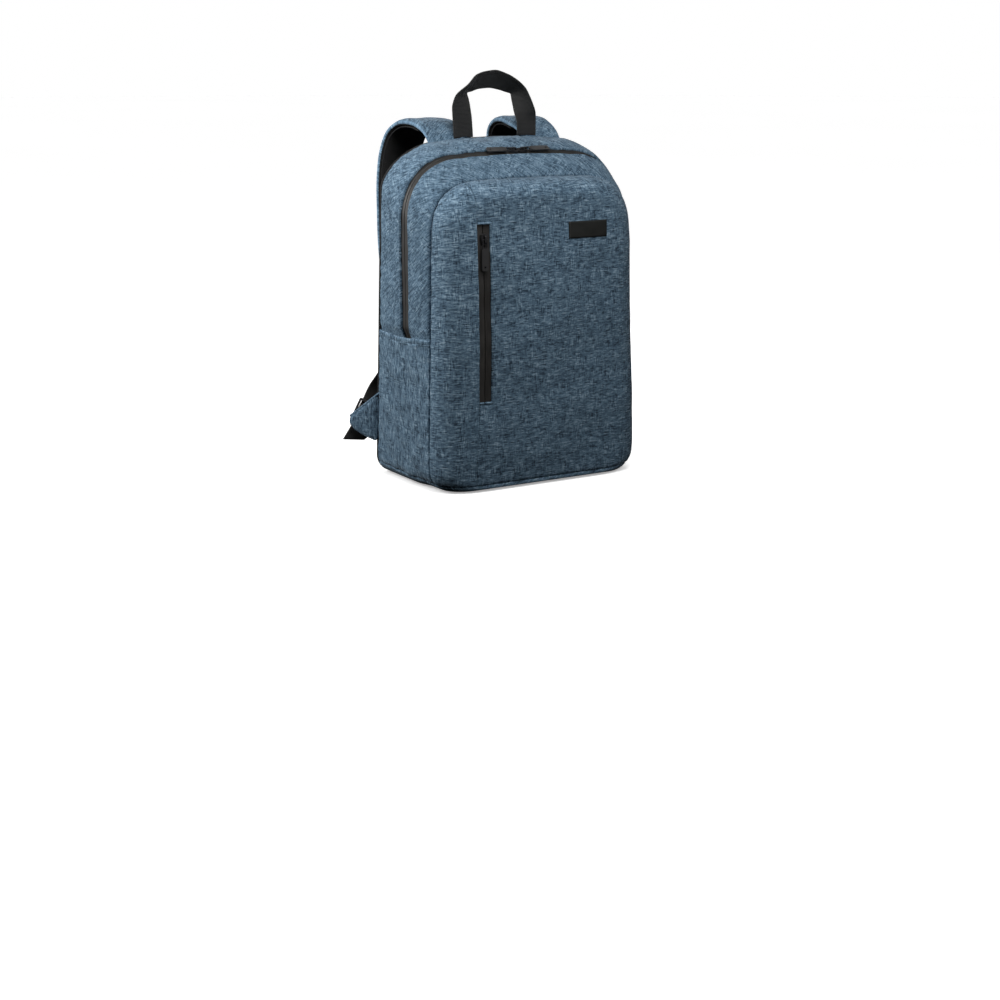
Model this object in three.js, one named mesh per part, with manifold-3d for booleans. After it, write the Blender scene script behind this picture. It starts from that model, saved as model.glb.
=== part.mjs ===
// Laptop backpack, standing on its base.
// Millimetres. +Z is up, -Y is the front, +X is the right seen from the front.
// The origin lies on the floor under the middle of the base.
import * as THREE from 'three';
import { mergeVertices } from 'three/addons/utils/BufferGeometryUtils.js';
import Module from 'manifold-3d';

const wasm = await Module();
wasm.setup();

// Driving sizes of the bag
const WIDTH = 328;
const HEIGHT = 430;
const DEPTH = 163;
const HALF = WIDTH / 2;
const CLOTH = 2.2;
const SEAM_GAP = 0.3;
const CLEAR = 0.3;

// Rounding between the front seam and the front face, and round the back panel
const FRONT_EDGE = 42;
const FRONT_EDGE_TOP = 22;
const FRONT_EDGE_FOOT = 9;
const FACE_SWELL = 3;
const BACK_EDGE = 9;
const BACK_SWELL = 2;
const BACK_FOOT_SHARE = 0.6;
const BACK_RING = { scale: 0.7, swell: 0.6 };
const EDGE_CORNER_SHARE = { x: 0.5, z: 0.3 };
const FOOT_RADIUS = 24;
const PINCH = 6;
const PINCH_HEIGHT = 45;

// Base panel: its seam rises a little towards the back
const BASE_SEAM = 11.4;
const BASE_SEAM_RISE = 0.043;

// Side pockets
const POCKET_TOP = 0.4465 * HEIGHT;
const HEM_HEIGHT = 8;
const HEM_PROUD = 0.8;
const POCKET_CLOTH = 2;
const POCKET_ROOM = 8.5;
const MOUTH_RUN = 20;
const ROOM_RUN = 30;
const LINER_TOP = 0.3953 * HEIGHT;

// Main zip
const ZIP_GAP = 15;
const TAPE = 1;
const TAPE_SEAM = 7;
const TAPE_SPLIT = 0.4;
const ZIP_MEET = 4.5;

// Front pocket zip, in the vertical seam of the front panel
const FRONT_SEAM_X = -0.5915 * HALF;
const FRONT_ZIP_WIDTH = 17;
const FRONT_ZIP_LOW = 0.2651 * HEIGHT;
const FRONT_ZIP_HIGH = 0.7721 * HEIGHT;
const FRONT_ZIP_CHAMFER = 3;
const FRONT_SLIDER_Z = FRONT_ZIP_HIGH - FRONT_ZIP_WIDTH;
const FRONT_SLIDER_SWELL = 0.18;

// Label patch
const PATCH_WIDTH = 57;
const PATCH_HEIGHT = 21;
const PATCH_THICK = 1.2;
const PATCH_X = 0.375 * HALF;
const PATCH_Z = 0.743 * HEIGHT;

// Zip slider and its pull
const SLIDER_LENGTH = 13;
const SLIDER_WIDTH = 9;
const SLIDER_BODY = 3;
const BAIL_WIDTH = 2;
const BAIL_WALL = 1.1;
const BAIL_REACH = 3.4;
const BAIL_SINK = 0.4;
const BAIL_CORNER = 0.5;
const WIRE = 1.2;
const WIRE_ROOM = 1.15;
const LINK_LENGTH = 10;
const LINK_WIDTH = 7.2;
const TAB_LENGTH = 27;
const TAB_WIDTH = 9;
const TAB_THICK = 1.8;
const TAB_CHAMFER = 2;
const TAB_END_SHARE = 0.7;
const TAB_HOLE = 1.3;
const TAB_HOLE_INSET = 4.5;

// Webbing, straps and anchors
const HANDLE_WEB = 28;
const HANDLE_THICK = 2;
const HANDLE_RISE = 80;
const STRAP_WIDTH = 61;
const STRAP_PAD = 9;
const STRAP_MESH = 1.6;
const STRAP_REACH = 110;
const MESH_INSET = 3;
const MESH_FROM = 2;
const MESH_TO = 12;
const WEB_WIDTH = 28;
const WEB_THICK = 1.4;
const WEB_LEAD = 8;
const WEB_TWIST = { start: 1.55, run: 2.7 };
const LOOP_WIDTH = 30;
const LOCK_WIDTH = 37;
const LOCK_LENGTH = 28;
const LOCK_THICK = 3;
const LOCK_BAR = 3;
const LOCK_CORNER = 1.5;
const WING_THICK = 5;
const WING_REACH = 41;
const WING_LOW = 42;
const WING_HIGH = 107;

// Cross sections from front to back. y is a share of DEPTH, half widths and cornerX are shares of
// HALF, top, cornerZ and crown are shares of HEIGHT, and square is the corner's exponent.
const SECTIONS = {
  frontSeam: { yBase: -0.294, yTop: -0.245, halfBase: 0.933, halfTop: 0.86, top: 0.893,
    cornerX: 0.445, cornerZ: 0.153, crown: 0.002, square: 2.5 },
  zip: { yBase: 0.025, yTop: -0.021, halfBase: 0.945, halfTop: 0.976, top: 0.963,
    cornerX: 0.494, cornerZ: 0.19, crown: 0.007, square: 2.25 },
  rearSeam: { yBase: 0.515, yTop: 0.258, halfBase: 0.954, halfTop: 1, top: 1,
    cornerX: 0.488, cornerZ: 0.133, crown: 0.008, square: 1.75 },
};
const FACE = { yBase: -0.485, yTop: -0.472 };
const GUSSET_STATIONS = [0, 0.22, 0.44, 0.56, 0.78, 1];
const SIDE_HEIGHTS = [0.14, 0.28, 0.385, 0.424, 0.4465, 0.493, 0.56, 0.67];
const EDGE_ANGLES = [28, 54, 76, 90];
const FACE_RINGS = [0.66, 0.33];
const FLAT_STEPS = 3;
const FOOT_STEPS = 4;
const CORNER_STEPS = 8;

const FAR = 600;
const rad = THREE.MathUtils.degToRad;
const lerp = THREE.MathUtils.lerp;
const clamp01 = (t) => Math.min(1, Math.max(0, t));

// Materials, one per kind of surface
const material = (color, roughness, metalness = 0) =>
  new THREE.MeshStandardMaterial({ color, roughness, metalness });
const CLOTH_BLUE = material(0x4d6478, 0.9);
const TAPE_BLACK = material(0x1c1c1e, 0.45);
const WEB_BLACK = material(0x141415, 0.8);
const MESH_BLACK = material(0x17181a, 0.95);
const PATCH_BLACK = material(0x1a1a1a, 0.7);
const METAL_BLACK = material(0x0f0f10, 0.35, 0.6);
const RUBBER_BLACK = material(0x121212, 0.55);
const PLASTIC_BLACK = material(0x101011, 0.4);

// Section values at a station: 0 is the front seam, 0.5 the zip and 1 the rear seam
function sectionAt(station) {
  const { frontSeam, zip, rearSeam } = SECTIONS;
  const a = 2 * (station - 0.5) * (station - 1);
  const b = 4 * station * (1 - station);
  const c = 2 * station * (station - 0.5);
  const blend = (key) => a * frontSeam[key] + b * zip[key] + c * rearSeam[key];
  const along = (key) => (station < 0.5
    ? lerp(frontSeam[key], zip[key], station * 2)
    : lerp(zip[key], rearSeam[key], station * 2 - 1));
  return {
    station,
    yBase: along('yBase') * DEPTH,
    yTop: along('yTop') * DEPTH,
    halfBase: blend('halfBase') * HALF,
    halfTop: blend('halfTop') * HALF,
    top: blend('top') * HEIGHT,
    cornerX: blend('cornerX') * HALF,
    cornerZ: blend('cornerZ') * HEIGHT,
    crown: blend('crown') * HEIGHT,
    square: blend('square'),
  };
}

// How far the gusset steps inwards behind the side pocket
function linerDepth(z, station) {
  const below = POCKET_TOP + MOUTH_RUN - z;
  const mouth = clamp01(below / MOUTH_RUN);
  const room = clamp01(below / ROOM_RUN);
  const foot = clamp01((z - FOOT_RADIUS) / FOOT_RADIUS);
  const across = Math.sin(Math.PI * station) ** 0.6;
  return mouth * (HEM_PROUD + POCKET_CLOTH + CLEAR) + POCKET_ROOM * room * foot * across;
}

// Half width of a section at a height
function halfWidth(section, z, inset, lined) {
  const slope = lerp(section.halfBase, section.halfTop, z / section.top);
  const pinch = section.station < 0.3 ? PINCH * clamp01(1 - z / PINCH_HEIGHT) ** 2 : 0;
  const liner = lined ? linerDepth(z, clamp01(section.station)) : 0;
  return slope - pinch - liner - inset;
}

// One closed ring of points round a section, starting at the bottom centre
function ring(section, inset, options = {}) {
  const { lined = false, shrinkX = 0, shrinkTop = 0, shrinkFoot = 0, y = null } = options;
  const half = (z) => halfWidth(section, z, inset + shrinkX, lined);
  const floor = inset + shrinkFoot;
  const top = section.top - section.crown - inset - shrinkTop;
  const foot = FOOT_RADIUS - inset;
  const cornerX = section.cornerX - inset - EDGE_CORNER_SHARE.x * shrinkX;
  const cornerZ = section.cornerZ - inset - EDGE_CORNER_SHARE.z * shrinkTop;
  const depth = y ?? ((z) => lerp(section.yBase, section.yTop, z / section.top));
  const left = [];
  const put = (x, z) => left.push(new THREE.Vector3(-x, depth(z), z));
  for (let i = 0; i < FLAT_STEPS; i += 1) {
    put((half(floor) - foot) * (i / FLAT_STEPS), floor);
  }
  for (let i = 0; i <= FOOT_STEPS; i += 1) {
    const turn = (i / FOOT_STEPS) * (Math.PI / 2);
    const z = floor + foot * (1 - Math.cos(turn));
    put(half(z) - foot * (1 - Math.sin(turn)), z);
  }
  for (const share of SIDE_HEIGHTS) {
    put(half(share * HEIGHT), share * HEIGHT);
  }
  for (let i = 0; i <= CORNER_STEPS; i += 1) {
    const turn = (i / CORNER_STEPS) * (Math.PI / 2);
    const z = top - cornerZ * (1 - Math.sin(turn) ** (2 / section.square));
    put(half(z) - cornerX * (1 - Math.cos(turn) ** (2 / section.square)), z);
  }
  for (let i = 1; i <= FLAT_STEPS; i += 1) {
    const share = 1 - i / FLAT_STEPS;
    put((half(top) - cornerX) * share, top + section.crown * (1 - share * share));
  }
  const right = left.slice(1, -1).reverse().map((p) => new THREE.Vector3(-p.x, p.y, p.z));
  return [...left, ...right];
}

// Closed body from rings; each end closes on its own centre point or as a flat fan
function loft(rings, startPoint = null, endPoint = null) {
  const count = rings[0].length;
  const points = rings.flat();
  const faces = [];
  for (let r = 0; r + 1 < rings.length; r += 1) {
    for (let i = 0; i < count; i += 1) {
      const a = r * count + i;
      const b = r * count + ((i + 1) % count);
      faces.push([a, b, b + count], [a, b + count, a + count]);
    }
  }
  const last = (rings.length - 1) * count;
  if (startPoint) {
    points.push(startPoint);
    for (let i = 0; i < count; i += 1) faces.push([(i + 1) % count, i, points.length - 1]);
  } else {
    for (let i = 1; i + 1 < count; i += 1) faces.push([0, i + 1, i]);
  }
  if (endPoint) {
    points.push(endPoint);
    for (let i = 0; i < count; i += 1) {
      faces.push([last + i, last + ((i + 1) % count), points.length - 1]);
    }
  } else {
    for (let i = 1; i + 1 < count; i += 1) faces.push([last, last + i, last + i + 1]);
  }
  const volume = faces.reduce((sum, [a, b, c]) =>
    sum + points[a].dot(new THREE.Vector3().crossVectors(points[b], points[c])), 0);
  const index = faces.flatMap(([a, b, c]) => (volume > 0 ? [a, b, c] : [a, c, b]));
  const corners = points.flatMap((p) => p.toArray());
  const geometry = new THREE.BufferGeometry();
  geometry.setAttribute('position', new THREE.Float32BufferAttribute(corners, 3));
  geometry.setIndex(index);
  return geometry;
}

// A closed mesh as a solid, and back
function solid(geometry) {
  const bare = geometry.clone();
  bare.deleteAttribute('normal');
  bare.deleteAttribute('uv');
  const merged = mergeVertices(bare, 1e-3);
  return new wasm.Manifold(new wasm.Mesh({
    numProp: 3,
    vertProperties: new Float32Array(merged.attributes.position.array),
    triVerts: new Uint32Array(merged.index.array),
  }));
}

function geometryOf(body) {
  const cut = body.getMesh();
  const geometry = new THREE.BufferGeometry();
  geometry.setAttribute('position', new THREE.Float32BufferAttribute(cut.vertProperties, 3));
  geometry.setIndex(Array.from(cut.triVerts));
  return geometry;
}

// Cutters: a prism along X from (y, z) corners, and one along Y from (x, z) corners
const prismX = (corners, from = -FAR, to = FAR) =>
  solid(loft([from, to].map((x) => corners.map(([y, z]) => new THREE.Vector3(x, y, z)))));
const prismY = (corners, from = -FAR, to = FAR) =>
  solid(loft([from, to].map((y) => corners.map(([x, z]) => new THREE.Vector3(x, y, z)))));

// Seams lie in planes that lean with the height
function seamY(section, z) {
  return lerp(section.yBase, section.yTop, z / section.top);
}
const FRONT = sectionAt(0);
const ZIP = sectionAt(0.5);
const REAR = sectionAt(1);
const LOW = -50;
const HIGH = 600;

function between(frontSection, frontShift, rearSection, rearShift) {
  const front = (z) => (frontSection ? seamY(frontSection, z) + frontShift : -FAR);
  const rear = (z) => (rearSection ? seamY(rearSection, z) + rearShift : FAR);
  return prismX([[front(LOW), LOW], [rear(LOW), LOW], [rear(HIGH), HIGH], [front(HIGH), HIGH]]);
}

const baseLine = (shift) => [-FAR, FAR].map((y) => [y, BASE_SEAM + BASE_SEAM_RISE * y + shift]);
const [overFront, overRear] = baseLine(SEAM_GAP / 2);
const [underFront, underRear] = baseLine(-SEAM_GAP / 2);
const aboveBase = prismX([overFront, overRear, [FAR, HIGH], [-FAR, HIGH]]);
const belowBase = prismX([[-FAR, -FAR], [FAR, -FAR], underRear, underFront]);
const level = (low, high) => prismX([[-FAR, low], [FAR, low], [FAR, high], [-FAR, high]]);
const slab = (left, right, low, high, rear) =>
  prismY([[left, low], [right, low], [right, high], [left, high]], -FAR, rear);
const sideOf = (sign) => (sign < 0 ? slab(-FAR, 0, LOW, HIGH, FAR) : slab(0, FAR, LOW, HIGH, FAR));

// The whole bag as one volume, taken in by an inset all round
function bagVolume(inset, { lined = false } = {}) {
  const rings = [];
  const faceY = (z) => lerp(FACE.yBase, FACE.yTop, z / FRONT.top) * DEPTH + inset;
  const edgeSection = { ...FRONT, station: -0.001 };
  const middle = (FRONT.top - FRONT_EDGE_TOP + FRONT_EDGE_FOOT) / 2;
  const edges = EDGE_ANGLES.map((angle) => {
    const out = 1 - Math.cos(rad(angle));
    const forward = Math.sin(rad(angle));
    return ring(edgeSection, inset, {
      shrinkX: (FRONT_EDGE - inset) * out,
      shrinkTop: (FRONT_EDGE_TOP - inset) * out,
      shrinkFoot: (FRONT_EDGE_FOOT - inset) * out,
      y: (z) => lerp(seamY(FRONT, z), faceY(z), forward),
    });
  }).reverse();
  for (const scale of [...FACE_RINGS].reverse()) {
    rings.push(edges[0].map((p) => {
      const z = middle + (p.z - middle) * scale;
      return new THREE.Vector3(p.x * scale, faceY(z) - FACE_SWELL * (1 - scale * scale), z);
    }));
  }
  rings.push(...edges);
  for (const station of GUSSET_STATIONS) {
    rings.push(ring(sectionAt(station), inset, { lined }));
  }
  for (const angle of EDGE_ANGLES) {
    const out = 1 - Math.cos(rad(angle));
    const back = Math.sin(rad(angle));
    rings.push(ring(REAR, inset, {
      lined,
      shrinkX: (BACK_EDGE - inset) * out,
      shrinkTop: (BACK_EDGE - inset) * out,
      shrinkFoot: (BACK_EDGE - inset) * BACK_FOOT_SHARE * out,
      y: (z) => seamY(REAR, z) + (BACK_EDGE - inset) * back,
    }));
  }
  const backRing = rings[rings.length - 1];
  const backMiddle = REAR.top / 2;
  const backY = (z) => seamY(REAR, z) + BACK_EDGE - inset;
  rings.push(backRing.map((p) => {
    const z = backMiddle + (p.z - backMiddle) * BACK_RING.scale;
    return new THREE.Vector3(p.x * BACK_RING.scale, backY(z) + BACK_SWELL * BACK_RING.swell, z);
  }));
  const start = new THREE.Vector3(0, faceY(middle) - FACE_SWELL, middle);
  const end = new THREE.Vector3(0, backY(backMiddle) + BACK_SWELL, backMiddle);
  return solid(loft(rings, start, end));
}

const outer = bagVolume(0);
const inner = bagVolume(CLOTH);
const skin = outer.subtract(inner);
const linerSkin = bagVolume(0, { lined: true }).subtract(bagVolume(CLOTH, { lined: true }));
const tapeSkin = bagVolume(CLOTH + CLEAR, { lined: true })
  .subtract(bagVolume(CLOTH + CLEAR + TAPE, { lined: true }));

const group = new THREE.Group();
function add(name, body, finish) {
  const geometry = body instanceof THREE.BufferGeometry ? body : geometryOf(body);
  const mesh = new THREE.Mesh(geometry, finish);
  mesh.name = name;
  group.add(mesh);
  return mesh;
}

// Front panel: two cloths that meet at a vertical seam, the right one notched for the pocket zip
const frontCloth = skin.intersect(between(null, 0, FRONT, -SEAM_GAP / 2)).intersect(aboveBase);
const zipRight = FRONT_SEAM_X + FRONT_ZIP_WIDTH;
const zipOpening = prismY([
  [FRONT_SEAM_X - SEAM_GAP / 2, FRONT_ZIP_LOW],
  [zipRight - FRONT_ZIP_CHAMFER, FRONT_ZIP_LOW],
  [zipRight, FRONT_ZIP_LOW + FRONT_ZIP_CHAMFER],
  [zipRight, FRONT_ZIP_HIGH - FRONT_ZIP_CHAMFER],
  [zipRight - FRONT_ZIP_CHAMFER, FRONT_ZIP_HIGH],
  [FRONT_SEAM_X - SEAM_GAP / 2, FRONT_ZIP_HIGH],
], -FAR, 0);
const upright = (from, to, low = LOW, high = HIGH) => slab(from, to, low, high, 0);
const leftOfSeam = upright(-FAR, FRONT_SEAM_X - SEAM_GAP / 2);
const rightOfSeam = upright(FRONT_SEAM_X + SEAM_GAP / 2, FAR);
add('front_panel_left', frontCloth.intersect(leftOfSeam), CLOTH_BLUE);
add('front_panel_right', frontCloth.intersect(rightOfSeam).subtract(zipOpening), CLOTH_BLUE);

// Front pocket zip: two tapes under the cloth
const frontZipX = FRONT_SEAM_X + FRONT_ZIP_WIDTH / 2;
const tapeReach = FRONT_ZIP_WIDTH / 2 + TAPE_SEAM;
const frontTapes = tapeSkin.intersect(between(null, 0, FRONT, -FRONT_EDGE_FOOT));
const frontTape = (from, to) =>
  frontTapes.intersect(upright(from, to, FRONT_ZIP_LOW - TAPE_SEAM, FRONT_ZIP_HIGH + TAPE_SEAM));
add('front_zip_tape_left', frontTape(frontZipX - tapeReach, frontZipX - TAPE_SPLIT / 2), TAPE_BLACK);
add('front_zip_tape_right', frontTape(frontZipX + TAPE_SPLIT / 2, frontZipX + tapeReach), TAPE_BLACK);

// Label patch, lying on the front face
const patchSkin = bagVolume(-CLEAR - PATCH_THICK).subtract(bagVolume(-CLEAR));
add('label_patch', patchSkin.intersect(upright(
  PATCH_X - PATCH_WIDTH / 2, PATCH_X + PATCH_WIDTH / 2,
  PATCH_Z - PATCH_HEIGHT / 2, PATCH_Z + PATCH_HEIGHT / 2,
)), PATCH_BLACK);

// Gusset: a front and a rear band with the main zip between them, running down into the pockets
const aboveLiner = level(LINER_TOP + SEAM_GAP / 2, HIGH);
const zipFront = -ZIP_GAP / 2;
const zipRear = ZIP_GAP / 2;
const gussetCut = (from, fromShift, to, toShift) =>
  between(from, fromShift, to, toShift).intersect(aboveLiner);
const frontBand = gussetCut(FRONT, SEAM_GAP / 2, ZIP, zipFront);
const rearBand = gussetCut(ZIP, zipRear, REAR, -SEAM_GAP / 2);
const frontTapeBand = gussetCut(ZIP, zipFront - TAPE_SEAM, ZIP, -TAPE_SPLIT / 2);
const rearTapeBand = gussetCut(ZIP, TAPE_SPLIT / 2, ZIP, zipRear + TAPE_SEAM);
add('gusset_front', linerSkin.intersect(frontBand), CLOTH_BLUE);
add('gusset_rear', linerSkin.intersect(rearBand), CLOTH_BLUE);
add('main_zip_tape_front', tapeSkin.intersect(frontTapeBand), TAPE_BLACK);
add('main_zip_tape_rear', tapeSkin.intersect(rearTapeBand), TAPE_BLACK);

// Sides: the wall behind the pocket, the pocket and its hem
const sideSlab = between(FRONT, SEAM_GAP / 2, REAR, -SEAM_GAP / 2);
const aboveBaseSide = sideSlab.intersect(aboveBase);
const wallBand = linerSkin.intersect(aboveBaseSide).intersect(level(LOW, LINER_TOP - SEAM_GAP / 2));
const pocketBand = outer.subtract(bagVolume(POCKET_CLOTH)).intersect(aboveBaseSide)
  .intersect(level(LOW, POCKET_TOP - HEM_HEIGHT - SEAM_GAP));
const hemBand = bagVolume(-HEM_PROUD).subtract(bagVolume(POCKET_CLOTH + HEM_PROUD / 2))
  .intersect(sideSlab).intersect(level(POCKET_TOP - HEM_HEIGHT, POCKET_TOP));
for (const [side, sign] of [['left', -1], ['right', 1]]) {
  add(`side_wall_${side}`, wallBand.intersect(sideOf(sign)), CLOTH_BLUE);
  add(`side_pocket_${side}`, pocketBand.intersect(sideOf(sign)), CLOTH_BLUE);
  add(`pocket_hem_${side}`, hemBand.intersect(sideOf(sign)), CLOTH_BLUE);
}

// Base and back
add('base_panel', skin.intersect(belowBase).intersect(between(null, 0, REAR, -SEAM_GAP / 2)), CLOTH_BLUE);
add('back_panel', outer.intersect(between(REAR, SEAM_GAP / 2, null, 0)), MESH_BLACK);

// Zip slider in its own frame: +X towards the nose, +Y across, +Z away from the tape
function extrude(shape, depth, steps = 4) {
  return new THREE.ExtrudeGeometry(shape, { depth, bevelEnabled: false, curveSegments: steps });
}
// A flat outline from one side's corners, closed by the same corners on the other side
function mirroredShape(corners) {
  const other = [...corners].reverse().map(([x, y]) => [x, -y]);
  return new THREE.Shape([...corners, ...other].map(([x, y]) => new THREE.Vector2(x, y)));
}

const eyeHeight = SLIDER_BODY + WIRE_ROOM;
const eyeX = -0.5;
// along is a share of half the slider's length, across of half its width
const SLIDER_ROWS = [
  { along: -1, across: 0.6 },
  { along: -0.69, across: 0.78 },
  { along: 0.385, across: 1 },
  { along: 0.846, across: 0.9 },
  { along: 1, across: 0.5 },
];
function sliderSolid() {
  const body = mirroredShape(SLIDER_ROWS.map(({ along, across }) =>
    [along * SLIDER_LENGTH / 2, across * SLIDER_WIDTH / 2]));
  const low = SLIDER_BODY - BAIL_SINK;
  const roof = SLIDER_BODY + 2 * WIRE_ROOM;
  const high = roof + BAIL_WALL;
  const foot = BAIL_REACH + BAIL_WALL + BAIL_SINK;
  const outside = [[foot, low], [foot, roof], [BAIL_REACH, high]];
  const inside = [[BAIL_REACH - BAIL_CORNER, roof], [BAIL_REACH, roof - BAIL_CORNER], [BAIL_REACH, low]];
  const flipped = (corners) => [...corners].reverse().map(([x, z]) => [-x, z]);
  const bail = new THREE.Shape([...outside, ...flipped(outside), ...flipped(inside), ...inside]
    .map(([x, z]) => new THREE.Vector2(x + eyeX, z)));
  const bailBody = extrude(bail, BAIL_WIDTH);
  bailBody.applyMatrix4(new THREE.Matrix4().makeRotationX(Math.PI / 2));
  bailBody.translate(0, BAIL_WIDTH / 2, 0);
  return solid(extrude(body, SLIDER_BODY)).add(solid(bailBody));
}

// The pull in the slider's frame: a wire link round the bail, and a tab with a small hole
function linkGeometry() {
  const half = WIRE / 2;
  const side = LINK_WIDTH / 2;
  const shape = mirroredShape([[half, side], [-LINK_LENGTH - half, side]]);
  shape.holes.push(new THREE.Path([[-half, side - WIRE], [-half, WIRE - side],
    [half - LINK_LENGTH, WIRE - side], [half - LINK_LENGTH, side - WIRE]]
    .map(([x, y]) => new THREE.Vector2(x, y))));
  const link = extrude(shape, WIRE);
  link.translate(eyeX, 0, eyeHeight - half);
  return link;
}

function tabGeometry() {
  const near = -LINK_LENGTH - WIRE / 2 - CLEAR;
  const far = near - TAB_LENGTH;
  const width = TAB_WIDTH / 2;
  const shape = mirroredShape([[near, width * TAB_END_SHARE], [near - TAB_CHAMFER, width],
    [far + TAB_CHAMFER, width], [far, width * TAB_END_SHARE]]);
  const hole = new THREE.Path();
  hole.absarc(far + TAB_HOLE_INSET, 0, TAB_HOLE, 0, 2 * Math.PI, true);
  shape.holes.push(hole);
  const tab = extrude(shape, TAB_THICK, 8);
  tab.translate(eyeX, 0, eyeHeight - TAB_THICK / 2);
  return tab;
}

function addZipSlider(prefix, suffix, frame) {
  const put = (name, geometry, finish) => add(name, geometry.applyMatrix4(frame), finish);
  put(`${prefix}_slider${suffix}`, geometryOf(sliderSolid()), METAL_BLACK);
  put(`${prefix}_pull_link${suffix}`, linkGeometry(), METAL_BLACK);
  put(`${prefix}_pull_tab${suffix}`, tabGeometry(), RUBBER_BLACK);
}

// Front slider: nose up, standing on the tape
const faceAt = (z) => lerp(FACE.yBase, FACE.yTop, z / FRONT.top) * DEPTH - FACE_SWELL * FRONT_SLIDER_SWELL;
const frontSlider = new THREE.Matrix4().makeBasis(
  new THREE.Vector3(0, 0, 1), new THREE.Vector3(-1, 0, 0), new THREE.Vector3(0, -1, 0));
frontSlider.setPosition(frontZipX, faceAt(FRONT_SLIDER_Z) + CLOTH, FRONT_SLIDER_Z);
addZipSlider('front_zip', '', frontSlider);

// Main sliders: nose to nose on the top of the bag, in the slope of the gusset
const zipBefore = sectionAt(GUSSET_STATIONS[2]);
const zipBehind = sectionAt(GUSSET_STATIONS[3]);
const crest = ({ yTop, top }) => new THREE.Vector3(0, yTop, top);
const slope = crest(zipBehind).sub(crest(zipBefore)).normalize();
const normal = new THREE.Vector3(0, -slope.z, slope.y);
const zipTop = crest(zipBefore).lerp(crest(zipBehind), 0.5);
for (const [side, sign] of [['left', -1], ['right', 1]]) {
  const alongZip = new THREE.Vector3(-sign, 0, 0);
  const across = new THREE.Vector3().crossVectors(normal, alongZip);
  const frame = new THREE.Matrix4().makeBasis(alongZip, across, normal);
  const seat = zipTop.clone().addScaledVector(normal, -(CLOTH + CLEAR) * slope.y + CLEAR);
  seat.x = ZIP_MEET + sign * (SLIDER_LENGTH / 2 + CLEAR);
  frame.setPosition(seat);
  addZipSlider('main_zip', `_${side}`, frame);
}

// A band along stations with a centre, a width direction, a half width and a thickness
function band(stations, outline, first = 0, last = stations.length) {
  const rings = stations.map((here, i) => {
    const before = stations[Math.max(0, i - 1)].centre;
    const after = stations[Math.min(stations.length - 1, i + 1)].centre;
    const wide = here.wide.clone().normalize();
    const up = here.face ?? new THREE.Vector3().crossVectors(wide, after.clone().sub(before)).normalize();
    return outline.map(([u, v]) => here.centre.clone()
      .addScaledVector(wide, u * here.half)
      .addScaledVector(up, v * here.thick / 2 + (here.lift ?? 0)));
  });
  return loft(rings.slice(first, last));
}
const FLAT_BAND = [[-1, -1], [1, -1], [1, 1], [-1, 1]];
const PADDED_BAND = [[-1, -0.2], [-0.86, -1], [-0.4, -1], [0.4, -1], [0.86, -1], [1, -0.2],
  [1, 0.3], [0.86, 1], [0.4, 1], [-0.4, 1], [-0.86, 1], [-1, 0.3]];
const vec = (x, y, z) => new THREE.Vector3(x, y, z);
const station = (centre, wide, half, thick) => ({ centre, wide, half, thick });

// Carry handle: its legs stand in the rear seam and it twists as it bends over.
// x is a share of HANDLE_WEB, z of HANDLE_RISE above the rear top seam, tip is the width's tilt.
const HANDLE_ROWS = [
  { x: -1.715, z: -0.0175, turn: -3, tip: 0 },
  { x: -1.77, z: 0.28, turn: 0, tip: 0 },
  { x: -1.82, z: 0.52, turn: 6, tip: 12 },
  { x: -1.6, z: 0.71, turn: 32, tip: 48 },
  { x: -1.3, z: 0.82, turn: 52, tip: 60 },
  { x: -0.84, z: 0.875, turn: 78, tip: 42 },
  { x: -0.15, z: 0.885, turn: 92, tip: 36 },
  { x: 0.48, z: 0.83, turn: 112, tip: 50 },
  { x: 1.09, z: 0.67, turn: 140, tip: 66 },
  { x: 1.51, z: 0.47, turn: 164, tip: 42 },
  { x: 1.61, z: 0.26, turn: 180, tip: 0 },
  { x: 1.61, z: -0.01, turn: 182.3, tip: 0 },
];
const handleY = REAR.yTop;
const handleFoot = REAR.top + CLEAR;
add('handle', band(HANDLE_ROWS.map((row) => ({
  centre: vec(row.x * HANDLE_WEB, handleY, handleFoot + row.z * HANDLE_RISE),
  wide: vec(Math.cos(rad(row.tip)) * Math.cos(rad(row.turn)), Math.sin(rad(row.tip)),
    -Math.cos(rad(row.tip)) * Math.sin(rad(row.turn))),
  half: HANDLE_WEB / 2,
  thick: HANDLE_THICK,
})), FLAT_BAND), WEB_BLACK);

// Shoulder strap: x is a share of HALF, back a share of STRAP_REACH behind the rear top seam,
// z a share of HEIGHT, wide a share of STRAP_WIDTH and pad a share of STRAP_PAD.
const STRAP_ROWS = [
  { x: 0.409, back: 0.035, z: 1.0, wide: 1, pad: 0.33, roll: 4 },
  { x: 0.409, back: 0.1, z: 1.014, wide: 1, pad: 0.72, roll: 3 },
  { x: 0.412, back: 0.27, z: 1.029, wide: 1, pad: 1 },
  { x: 0.424, back: 0.5, z: 1.039, wide: 1, pad: 1 },
  { x: 0.441, back: 0.72, z: 1.033, wide: 1, pad: 1 },
  { x: 0.463, back: 0.89, z: 1.006, wide: 1, pad: 1 },
  { x: 0.49, back: 0.98, z: 0.951, wide: 1, pad: 1 },
  { x: 0.512, back: 1.0, z: 0.874, wide: 1, pad: 1 },
  { x: 0.519, back: 0.99, z: 0.774, wide: 1, pad: 1 },
  { x: 0.524, back: 0.96, z: 0.672, wide: 1, pad: 1 },
  { x: 0.53, back: 0.91, z: 0.574, wide: 0.93, pad: 1 },
  { x: 0.542, back: 0.84, z: 0.497, wide: 0.8, pad: 0.95 },
  { x: 0.561, back: 0.745, z: 0.433, wide: 0.62, pad: 0.8 },
];
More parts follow.
